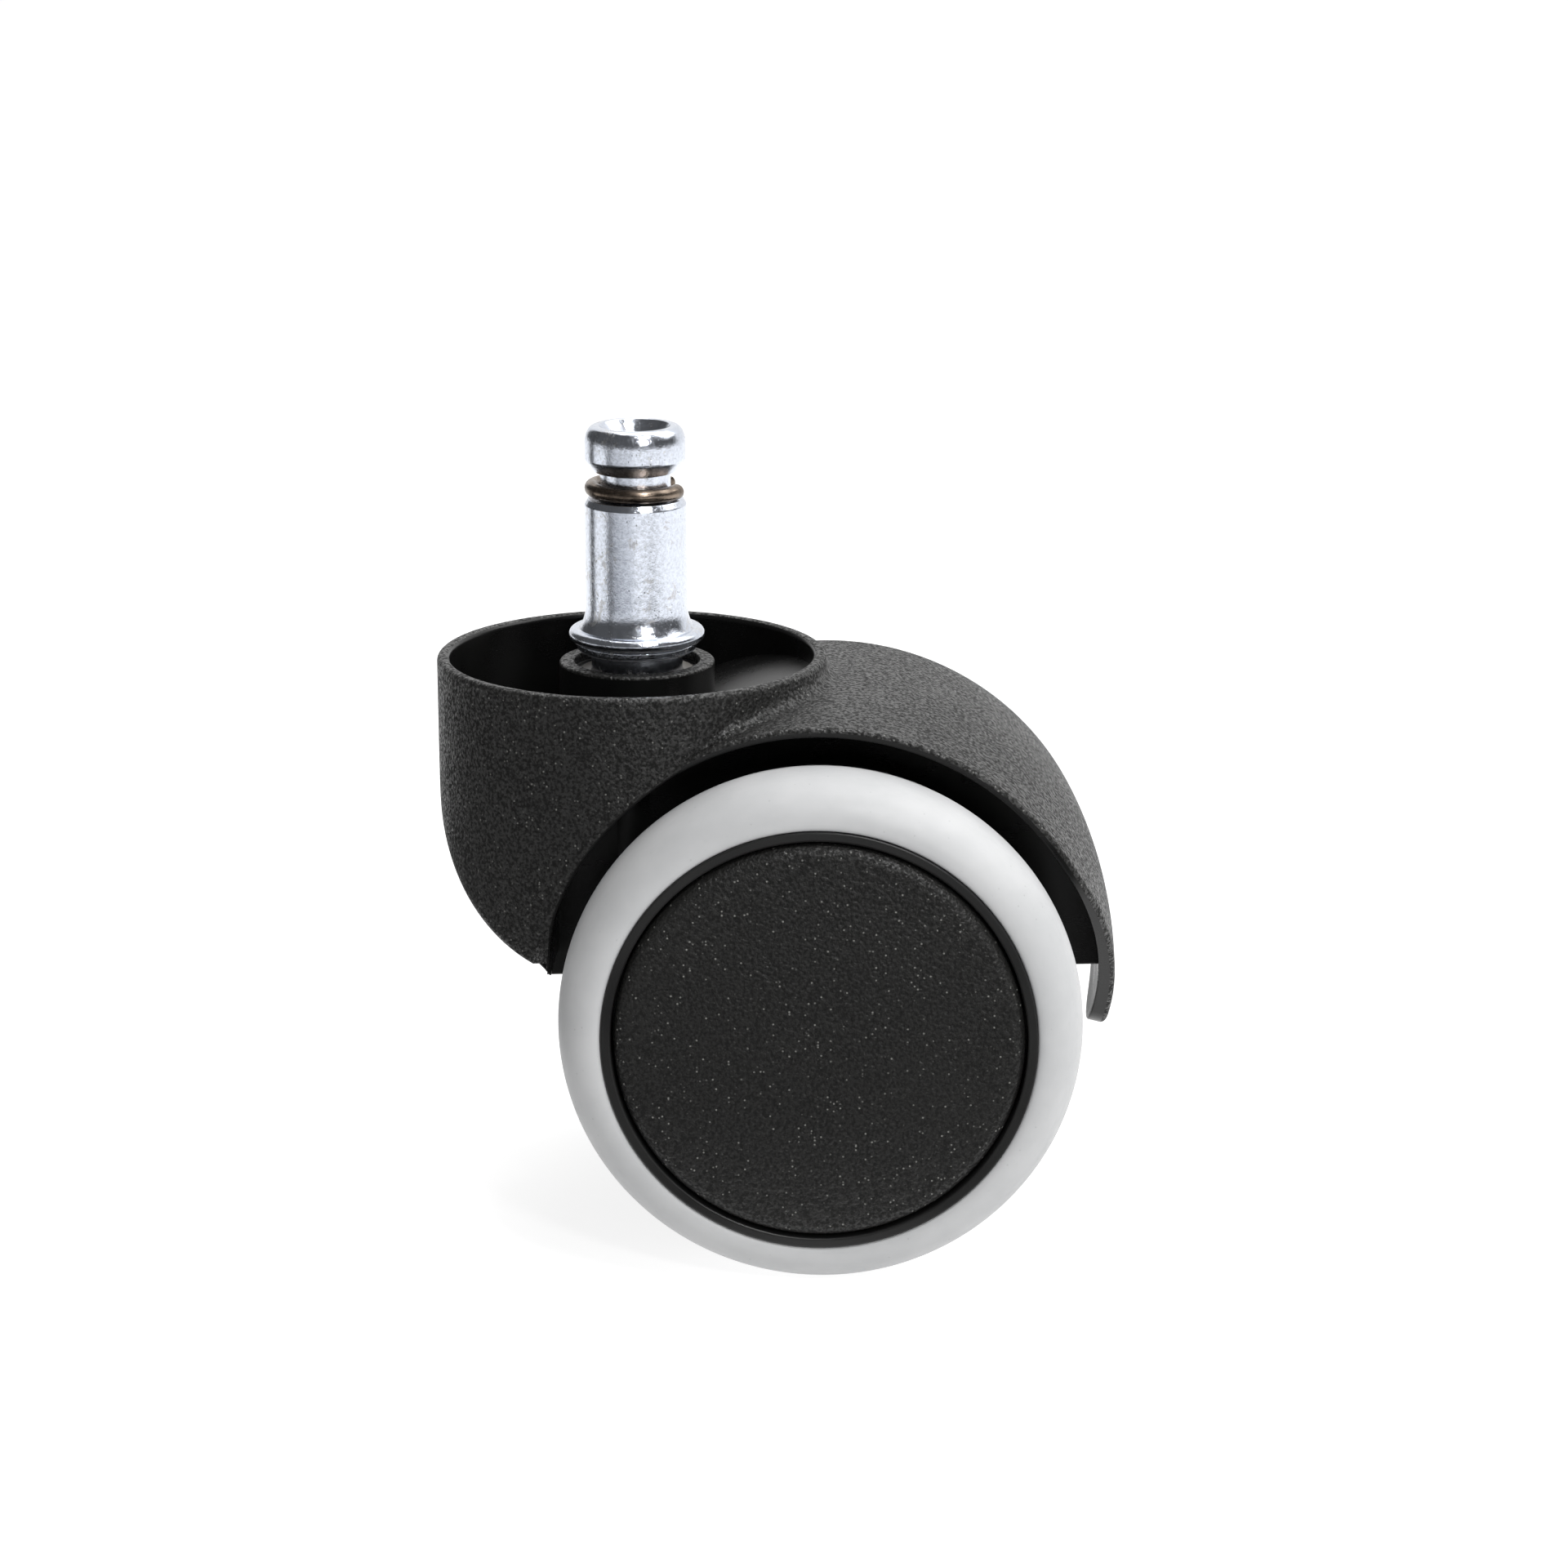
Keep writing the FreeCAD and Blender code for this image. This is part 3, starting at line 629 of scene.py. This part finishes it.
def cup_height(turn, level, out=0.0, wall_in=0.0, over_hood=False):
    """Height at which the cup's wall, moved out by a distance, is level away from the axle, or
    from the hood's top: found by halving the range that holds it."""
    shape = np.broadcast(turn, level, out).shape
    high, low = np.full(shape, CUP_RIM_Z), np.full(shape, CHIN_Z - CHIN_R + wall_in + 0.01)
    for _ in range(44):
        z = (high + low) / 2
        radius = cup_radius(turn, z, wall_in) + out
        away = np.hypot(CUP_X + radius * np.cos(turn) - AXLE_X, z - AXLE_Z)
        gap = away - level - (hood_radius(radius * np.sin(turn)) if over_hood else arch_radius(z))
        high, low = np.where(gap > 0, z, high), np.where(gap > 0, low, z)
    return z


def chin_steps(top, bottom, share, chin_r):
    """Heights between top and bottom, even along the straight wall and round the chin's arc."""
    def depth(z):
        down = (CHIN_Z - z) / chin_r
        return np.where(down < 0, down, np.arcsin(np.clip(down, -1, 1)))

    value = depth(top) + (depth(bottom) - depth(top)) * share
    return CHIN_Z - chin_r * np.where(value < 0, value, np.sin(value))


def cup_shell():
    """The cup's wall: one closed section carried round the cup's upright axis.

    The section runs over the rim, down the outside to the hood, where a hollow fillet leads out
    onto the hood's top, or to the arch's edge, where a small round leads under, and back up
    the inside.
    """
    turn = np.linspace(0, 2 * math.pi, 288, endpoint=False)[None]
    quarter = np.linspace(0, math.pi / 2, 6)[:, None]
    outer, inner = cup_radius(turn, CUP_RIM_Z), cup_radius(turn, CUP_RIM_Z, CUP_WALL)
    room = HOOD_HALF_W - LIP_OUTER - np.abs(CUP_R * np.sin(turn))
    fillet = np.where(np.cos(turn) > 0, np.clip(0.8 * room, 0, CREASE_R), 0)
    fall = np.linspace(math.pi / 2, 0, 9)[:, None]
    flare = fillet * (1 - np.sin(fall))
    flare_z = cup_height(turn, fillet * (1 - np.cos(fall)), flare, over_hood=True)
    start_z = CUP_RIM_Z - CUP_EDGE
    wall_z = chin_steps(start_z, flare_z[:1], np.linspace(0, 1, 46)[1:-1, None], CHIN_R)
    round_in = EDGE_R * (1 - np.cos(quarter))
    round_z = cup_height(turn, SKIN + EDGE_R * (1 - np.sin(quarter)), -round_in)
    low_z = cup_height(turn, SKIN, wall_in=CUP_WALL)
    inner_z = chin_steps(low_z, start_z, np.linspace(0, 1, 34)[:-1, None], CHIN_R - CUP_WALL)
    radius = [
        inner + CUP_EDGE * (1 - np.cos(quarter)),
        outer - CUP_EDGE * (1 - np.sin(quarter)),
        cup_radius(turn, wall_z),
        cup_radius(turn, flare_z) + flare,
        cup_radius(turn, round_z) - round_in,
        cup_radius(turn, inner_z, CUP_WALL),
    ]
    z = [
        CUP_RIM_Z - CUP_EDGE * (1 - np.sin(quarter)) + 0 * turn,
        CUP_RIM_Z - CUP_EDGE * (1 - np.cos(quarter)) + 0 * turn,
        wall_z,
        flare_z,
        round_z,
        inner_z,
    ]
    grained = sum(len(rows) for rows in z[:4])
    radius, z = np.vstack(radius), np.vstack(z)
    grid = np.stack([CUP_X + radius * np.cos(turn), radius * np.sin(turn), z], -1)
    row = np.arange(len(grid))
    return grid_shell(grid, True, True, np.where((row > 2) & (row < grained), 0, 1))


def web_outline(low_angle, high_angle, radius, steps):
    """The arch's circle between two angles, closed below by the web's sloping lower edge."""
    angle = np.linspace(low_angle, high_angle, steps)
    arc = np.stack([AXLE_X + radius * np.cos(angle), AXLE_Z + radius * np.sin(angle)], -1)
    share = np.linspace(0, 1, steps // 2)[1:-1, None]
    return np.vstack([arc, arc[-1] + (arc[0] - arc[-1]) * share])


def web_shells():
    """Web between the wheels: two outer plates, a core, ribs, the filled end by the stem's
    socket and the axle's boss."""
    left = math.pi - math.asin((WEB_END_Z[0] - AXLE_Z) / WEB_R)
    right = math.asin((WEB_END_Z[1] - AXLE_Z) / WEB_R)
    whole = web_outline(right, left, WEB_R - 0.1, 120)
    inner_y = WEB_HALF_W - WEB_PLATE
    shells = [
        slab(whole, inner_y, WEB_HALF_W),
        slab(whole, -WEB_HALF_W, -inner_y),
        slab(whole, -WEB_CORE, WEB_CORE),
    ]
    for degrees in RIB_DEGS:
        x = np.array([BOSS_R - 1, ARCH_R + 0.3, ARCH_R + 0.3, BOSS_R - 1]) + AXLE_X
        z = np.array([-1, -1, 1, 1]) * RIB_T / 2 + AXLE_Z
        rib = np.stack([x, z], -1)
        shells.append(slab(rib, -inner_y - 0.3, inner_y + 0.3, 0.1, math.radians(degrees)))
    fill_x = np.array([-8.3, -0.2, -0.2, -6.0])
    fill_z = np.array([WEB_END_Z[0] + 0.2, WEB_END_Z[0] + 0.4, -14.0, -23.0])
    shells.append(slab(np.stack([fill_x, fill_z], -1), -inner_y - 0.3, inner_y + 0.3, 0.15))
    boss = [
        (AXLE_R, -BOSS_HALF_W, 0.1),
        (BOSS_R, -BOSS_HALF_W, 0.3),
        (BOSS_R, BOSS_HALF_W, 0.3),
        (AXLE_R, BOSS_HALF_W, 0.1),
    ]
    shells.append(lathe(rounded(boss, closed=True), "y", closed=True))
    return [(points, faces, finish + 1) for points, faces, finish in shells]


def socket_shell():
    """Tube that holds the stem's bush: a flat rim with round edges, a mouth and a blind bore."""
    outline = [
        (0, SOCKET_END_Z, 0),
        (SOCKET_R, SOCKET_END_Z, 0.5),
        (SOCKET_R, SOCKET_TOP_Z, 0.3),
        (SOCKET_MOUTH_R, SOCKET_TOP_Z, 0.12),
        (SOCKET_MOUTH_R, BUSH_HIGH[2], 0.1),
        (SOCKET_BORE_R, BUSH_HIGH[2], 0.1),
        (SOCKET_BORE_R, SOCKET_FLOOR_Z, 0),
        (0, SOCKET_FLOOR_Z, 0),
    ]
    profile = rounded(outline)
    rim = profile[:-1, 1] > SOCKET_TOP_Z - 0.35
    return lathe(profile, "z", finish=np.where(rim, 0, 1))


# ---------------------------------------------------------------- stem group
def stem_shell():
    """Headed stem, turned about its axis: journal, round-edged flange, hollow flare, shaft,
    neck and a head with a crowned shoulder and a dished top."""
    low = rounded(
        [
            (0, STEM_LOW[2], 0),
            (JOURNAL_R - 1.2, STEM_LOW[2], 0.1),
            (JOURNAL_R, STEM_LOW[2] + 1.2, 0.1),
            (JOURNAL_R, GROOVE_Z[0], 0.05),
            (GROOVE_R, GROOVE_Z[0], 0),
            (GROOVE_R, GROOVE_Z[1], 0),
            (JOURNAL_R, GROOVE_Z[1], 0.05),
            (JOURNAL_R, -FLANGE_T, 0),
            (FLANGE_R - FLANGE_T / 2, -FLANGE_T, 0),
        ]
    )
    half_turn = np.linspace(-math.pi / 2, math.pi / 2, 19)[1:, None]
    centre = np.array([FLANGE_R - FLANGE_T / 2, -FLANGE_T / 2])
    flange = centre + FLANGE_T / 2 * np.hstack([np.cos(half_turn), np.sin(half_turn)])
    climb = np.linspace(0, 1, 20)[:, None]
    flare = np.hstack([STEM_R + (FLARE_R - STEM_R) * (1 - climb) ** 3, FLARE_H * climb])
    shaft = rounded(
        [
            (STEM_R, FLARE_H + 0.3, 0),
            (STEM_R, SHOULDER_Z, 0.25),
            (SHOULDER_TOP_R, SHOULDER_TOP_Z, 0.15),
            (NECK_R, SHOULDER_TOP_Z, 0.15),
            (NECK_R, NECK_TOP_Z, 0.15),
            (HEAD_FOOT_R, NECK_TOP_Z, 0.1),
            (HEAD_R, HEAD_BAND_Z[0], 0.5),
            (HEAD_R, HEAD_BAND_Z[1], 0),
        ]
    )
    bend = np.linspace(0, math.pi / 2, 12)[1:-1, None]
    rise = STEM_HIGH[2] - HEAD_BAND_Z[1]
    crown = np.hstack(
        [
            STEM_TOP_R + (HEAD_R - STEM_TOP_R) * np.cos(bend) ** 0.8,
            HEAD_BAND_Z[1] + rise * np.sin(bend) ** 1.15,
        ]
    )
    dish = rounded(
        [
            (STEM_TOP_R, STEM_HIGH[2], 0),
            (RECESS_R, STEM_HIGH[2], 0.12),
            (RECESS_FLOOR_R, STEM_HIGH[2] - RECESS_DEPTH, 0.4),
            (0, STEM_HIGH[2] - RECESS_DEPTH, 0),
        ]
    )
    return lathe(np.vstack([low, flange, flare, shaft, crown, dish]), "z")


def grip_ring_shell():
    """Open ring: a round wire carried along a circle's arc, tilted a little about the Y axis.
    At both ends the wire's radius drops in short steps to the middle of the cut."""
    cut = np.array([0.0, 0.62, 0.86, 1.0])
    spin = np.linspace(GRIP_ENDS[0], GRIP_ENDS[1], 120)
    bevel = np.array([0.0, 0.0, 0.03, 0.12]) / GRIP_R
    along = np.concatenate([spin[0] + bevel, spin[2:-2], spin[-1] - bevel[::-1]])[:, None]
    wire = np.concatenate([cut, np.ones(len(spin) - 4), cut[::-1]])[:, None] * GRIP_WIRE_R
    around = np.linspace(0, 2 * math.pi, 28, endpoint=False)[None]
    radius = GRIP_R + wire * np.cos(around)
    x, y, z = radius * np.cos(along), radius * np.sin(along), wire * np.sin(around)
    cos, sin = math.cos(GRIP_TILT), math.sin(GRIP_TILT)
    return grid_shell(np.stack([x * cos + z * sin, y, GRIP_Z - x * sin + z * cos], -1), False, True)


def stem_washer_shell():
    """Flat washer with stamped, slightly round edges."""
    low, high = WASHER_LOW[2], WASHER_HIGH[2]
    outer, inner = WASHER_HIGH[0], JOURNAL_R + 0.05
    outline = [(inner, low, 0.05), (outer, low, 0.3), (outer, high, 0.25), (inner, high, 0.05)]
    return lathe(rounded(outline, closed=True), "z", closed=True)


# ---------------------------------------------------------------- wheels
def on_side(outline, side):
    """Corners (distance from axle, distance from middle, radius) put on one side."""
    return [(radius, side * y, round_r) for radius, y, round_r in outline]


def wheel_core_shells(side):
    """Wheel centre: hub, disc and drum turned about the axle, with spokes and a hoop behind."""
    outline = [
        (HUB_BUSH_R, HUB_Y[0], 0.1),
        (HUB_R, HUB_Y[0], 0.2),
        (HUB_R, DISC_Y[0], 0.4),
        (SHOULDER_R, DISC_Y[0], 0.4),
        (SHOULDER_R, DRUM_INNER_Y, 0.2),
        (DRUM_R - 0.1, DRUM_INNER_Y, 0.8),
        (DRUM_R, TYRE_BACK_Y, 0.1),
        (TYRE_SEAT_R, TYRE_BACK_Y, 0),
        (TYRE_SEAT_R, FACE_Y, 0.16),
        (RIM_BORE_R, FACE_Y, 0.2),
        (RIM_BORE_R, CAP_SEAT_Y, 0),
        (SHOULDER_R, CAP_SEAT_Y, 0.1),
        (SHOULDER_R, DISC_Y[1], 0.2),
        (HUB_R, DISC_Y[1], 0.2),
        (HUB_R, HUB_Y[1], 0.1),
        (HUB_BUSH_R, HUB_Y[1], 0.1),
    ]
    shells = [lathe(rounded(on_side(outline, side), closed=True), "y", closed=True)]
    low, high = sorted((side * (DRUM_INNER_Y + 0.6), side * (DISC_Y[0] + 0.3)))
    inner, outer = HOOP_R
    hoop = [(inner, low, 0.15), (outer, low, 0.15), (outer, high, 0.15), (inner, high, 0.15)]
    shells.append(lathe(rounded(hoop, closed=True), "y", closed=True))
    x = np.array([HUB_R - 0.5, SHOULDER_R + 0.3, SHOULDER_R + 0.3, HUB_R - 0.5]) + AXLE_X
    z = np.array([-1, -1, 1, 1]) * SPOKE_T / 2 + AXLE_Z
    for index in range(SPOKES):
        turn = index * 2 * math.pi / SPOKES
        shells.append(slab(np.stack([x, z], -1), low, high, 0.15, turn))
    return shells


def tyre_shell(side):
    """Tread: two quarter ovals that meet on the crown, a rolled lip at the rim and a flat
    seat, turned about the axle."""
    quarter = np.linspace(0, math.pi / 2, 26)[:, None]
    back_r = DRUM_R + 0.2
    back = np.hstack(
        [
            back_r + (WHEEL_R - back_r) * np.sin(quarter),
            TYRE_CROWN_Y - (TYRE_CROWN_Y - TYRE_BACK_Y) * np.cos(quarter),
        ]
    )
    front = np.hstack(
        [
            TYRE_FACE_R + (WHEEL_R - TYRE_FACE_R) * np.cos(quarter[1:]),
            TYRE_CROWN_Y + (FACE_Y - TYRE_CROWN_Y) * np.sin(quarter[1:]),
        ]
    )
    lip = np.hstack(
        [
            TYRE_FACE_R - (TYRE_FACE_R - TYRE_SEAT_R) * np.sin(quarter[3::3]),
            FACE_Y - 0.5 * (1 - np.cos(quarter[3::3])),
        ]
    )
    seat = np.array([[TYRE_SEAT_R, TYRE_BACK_Y]])
    profile = np.vstack([seat, back, front, lip])
    profile[:, 1] *= side
    return lathe(profile, "y", closed=True, segments=WHEEL_ROUND)


def cap_shell(side):
    """Cover: a shallow dome that turns over a round edge into a short skirt."""
    flat_r = CAP_R - CAP_EDGE
    out = np.linspace(0, 1, 24)[:, None]
    dome = np.hstack([flat_r * out, CAP_FACE_Y + CAP_DOME * (1 - out**2)])
    quarter = np.linspace(0, math.pi / 2, 12)[1:, None]
    edge = np.hstack(
        [flat_r + CAP_EDGE * np.sin(quarter), CAP_FACE_Y - CAP_EDGE * (1 - np.cos(quarter))]
    )
    inner_y = CAP_FACE_Y - CAP_T
    back = rounded(
        [
            (CAP_R, CAP_FACE_Y - CAP_EDGE - 0.2, 0),
            (CAP_R, CAP_SEAT_Y, 0.1),
            (CAP_R - CAP_T, CAP_SEAT_Y, 0.1),
            (CAP_R - CAP_T, inner_y, 0.2),
            (0, inner_y, 0),
        ]
    )
    profile = np.vstack([dome, edge, back])
    profile[:, 1] *= side
    return lathe(profile, "y", segments=WHEEL_ROUND)


# ---------------------------------------------------------------- pieces
def build_pieces():
    """Every finished piece on its body, and the CAD nodes that keep their own mesh."""
    hood = [hood_shell(), cup_shell(), socket_shell()] + web_shells()
    blacks = [HOOD_GRAIN, INNER_BLACK]
    make_piece("hood_moulding", "housing", hood, blacks, "grained_black_nylon", "housing")
    make_piece("headed_stem", "stem", [stem_shell()], [ZINC], "zinc_plated_steel", "stem")
    make_piece("spring_grip_ring", "stem", [grip_ring_shell()], [SPRING], "spring_steel", "grip_ring")
    make_piece("flange_washer", "stem", [stem_washer_shell()], [ZINC], "zinc_plated_steel", "stem_washer")
    for name, side in (("left", -1), ("right", 1)):
        body = name + "_wheel"
        core, tyre, cap = body + "_core", name + "_tyre", body + "_cap"
        centre = wheel_core_shells(side)
        make_piece(body + "_centre", body, centre, [SATIN_BLACK], "smooth_black_plastic", core)
        make_piece(name + "_tread", body, [tyre_shell(side)], [TREAD], "soft_grey_tyre", tyre)
        make_piece(body + "_cover", body, [cap_shell(side)], [CAP_GRAIN], "grained_black_cap", cap)
    kept = {
        ACETAL: ("stem_bush", "left_hub_bush", "right_hub_bush"),
        STEEL: ("thrust_disc", "axle", "left_spacer_washer", "right_spacer_washer"),
        SPRING: ("stem_retaining_ring", "left_axle_clip", "right_axle_clip"),
    }
    for material, nodes in kept.items():
        for node in nodes:
            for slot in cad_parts[node].material_slots:
                slot.material = material


# ---------------------------------------------------------------- studio
CAMERA_TURN = math.radians(1.75)
CAMERA_RISE = math.radians(15.37)
CAMERA_DISTANCE = 0.400
CAMERA_TARGET = Vector((0.01452, 0.0, -0.0160))
CAMERA_LENS = 92.28
WORLD_DARK = 0.92
WORLD_LEFT_DIM = 0.88


def plane(name, centre, size, facing, material):
    """A flat stage rectangle that faces a direction."""
    mesh = bpy.data.meshes.new(name)
    w, h = size[0] / 2, size[1] / 2
    mesh.from_pydata([(-w, -h, 0), (w, -h, 0), (w, h, 0), (-w, h, 0)], [], [(0, 1, 2, 3)])
    sheet = bpy.data.objects.new(name, mesh)
    sheet.location = centre
    sheet.rotation_euler = Vector(facing).to_track_quat("Z", "Y").to_euler()
    mesh.materials.append(material)
    bpy.context.scene.collection.objects.link(sheet)
    return sheet


def build_floor():
    """Plain pale floor under the wheels."""
    f = Finish("pale_floor", roughness=0.9, specular_ior_level=0.1, emission_strength=0.85)
    f.bsdf.inputs["Emission Color"].default_value = (1, 1, 1, 1)
    tone = f.mix(f.band(f.noise(60.0, 2.0), 0.3, 0.7), (0.30, 0.30, 0.30, 1), (0.33, 0.33, 0.33, 1))
    plane("floor", (0, 0, FLOOR_Z * MM), (8.0, 8.0), (0, 0, 1), f.wear(tone))


def build_flags():
    """Studio cards that only show in reflections: two black ones upright by the stem, a grey one
    lying far in front and two black ones lying close to the wheels."""
    f = Finish("black_card", roughness=0.8)
    black = f.wear(f.mix(f.noise(20.0), (0.01, 0.01, 0.01, 1), (0.02, 0.02, 0.02, 1)))
    f = Finish("grey_card", roughness=0.8)
    grey = f.wear(f.mix(f.noise(20.0), (0.45, 0.46, 0.48, 1), (0.60, 0.61, 0.63, 1)))
    floor = FLOOR_Z * MM
    away, height = 0.15, 0.20
    sheets = []
    for name, bearing, width in (("left_back_flag", -113.0, 0.048), ("left_front_flag", -59.0, 0.026)):
        turn = math.radians(bearing) + CAMERA_TURN
        centre = (away * math.sin(turn), -away * math.cos(turn), floor + height / 2)
        sheets.append(plane(name, centre, (width, height), (-centre[0], -centre[1], 0), black))
    lying = (
        ("front_left_flag", (-0.21, -0.30), (0.40, 0.30), grey),
        ("near_flag", (-0.01, -0.115), (0.36, 0.15), black),
        ("near_left_flag", (-0.11, 0.03), (0.12, 0.15), black),
    )
    for name, place, size, card in lying:
        sheets.append(plane(name, (*place, floor + 0.5 * MM), size, (0, 0, 1), card))
    for card in sheets:
        for kind in ("camera", "diffuse", "shadow", "transmission", "volume_scatter"):
            setattr(card, "visible_" + kind, False)


def build_lights():
    """A small key light and a weaker low one in front on the right, a wide one on the right and a
    wider one high behind, each aimed at the wheels."""
    lights = (
        ("key", (0.18, -0.28, 0.46), 0.10, 1.5),
        ("edge", (0.20, -0.42, 0.24), 0.06, 0.8),
        ("right", (0.40, 0.10, 0.40), 0.34, 1.1),
        ("back", (0.05, 0.20, 0.60), 0.50, 2.5),
    )
    for name, place, size, power in lights:
        data = bpy.data.lights.new(name, "AREA")
        data.size = size
        data.energy = power
        lamp = bpy.data.objects.new(name, data)
        lamp.location = place
        aim = Vector((AXLE_X * MM, 0, AXLE_Z * MM / 2)) - Vector(place)
        lamp.rotation_euler = aim.to_track_quat("-Z", "Y").to_euler()
        bpy.context.scene.collection.objects.link(lamp)


def build_world():
    """White studio. Reflections see it dark in front and on the left, except straight overhead,
    and matt surfaces get less light from the left."""
    world = bpy.data.worlds.new("studio")
    world.use_nodes = True
    bpy.context.scene.world = world
    tree = world.node_tree
    back = tree.nodes["Background"]
    view = tree.nodes.new("ShaderNodeTexCoord").outputs["Generated"]
    parts = tree.nodes.new("ShaderNodeSeparateXYZ")
    tree.links.new(view, parts.inputs[0])

    def step(socket, low, high):
        node = tree.nodes.new("ShaderNodeMapRange")
        node.interpolation_type = "SMOOTHSTEP"
        tree.links.new(socket, node.inputs[0])
        node.inputs[1].default_value, node.inputs[2].default_value = low, high
        return node.outputs[0]

    def join(operation, a, b):
        node = tree.nodes.new("ShaderNodeMath")
        node.operation = operation
        for index, value in enumerate((a, b)):
            if isinstance(value, float):
                node.inputs[index].default_value = value
            else:
                tree.links.new(value, node.inputs[index])
        return node.outputs[0]

    def times(a, b):
        return join("MULTIPLY", a, b)

    def minus(a, b):
        return join("SUBTRACT", a, b)

    ray = tree.nodes.new("ShaderNodeLightPath").outputs
    side = step(parts.outputs["X"], -0.35, -0.75)
    front = step(minus(parts.outputs["Y"], times(side, 0.7)), 0.55, 0.3)
    low = step(parts.outputs["Z"], 0.99, 0.95)
    left = step(parts.outputs["X"], 0.7, -0.3)
    unseen = times(times(times(front, low), WORLD_DARK), ray["Is Glossy Ray"])
    unlit = times(times(left, WORLD_LEFT_DIM), ray["Is Diffuse Ray"])
    tree.links.new(minus(minus(1.0, unseen), unlit), back.inputs["Color"])
    back.inputs["Strength"].default_value = 1.0


def build_camera():
    """Camera that looks slightly down at the near wheel."""
    back = Vector(
        (
            math.sin(CAMERA_TURN) * math.cos(CAMERA_RISE),
            -math.cos(CAMERA_TURN) * math.cos(CAMERA_RISE),
            math.sin(CAMERA_RISE),
        )
    )
    data = bpy.data.cameras.new("camera")
    data.lens = CAMERA_LENS
    data.sensor_width = 36.0
    data.clip_start = 0.01
    camera = bpy.data.objects.new("camera", data)
    camera.location = CAMERA_TARGET + back * CAMERA_DISTANCE
    camera.rotation_euler = (-back).to_track_quat("-Z", "Y").to_euler()
    bpy.context.scene.collection.objects.link(camera)
    bpy.context.scene.camera = camera


build_camera()
build_pieces()
build_floor()
build_flags()
build_lights()
build_world()
bpy.context.scene.view_settings.view_transform = "Standard"
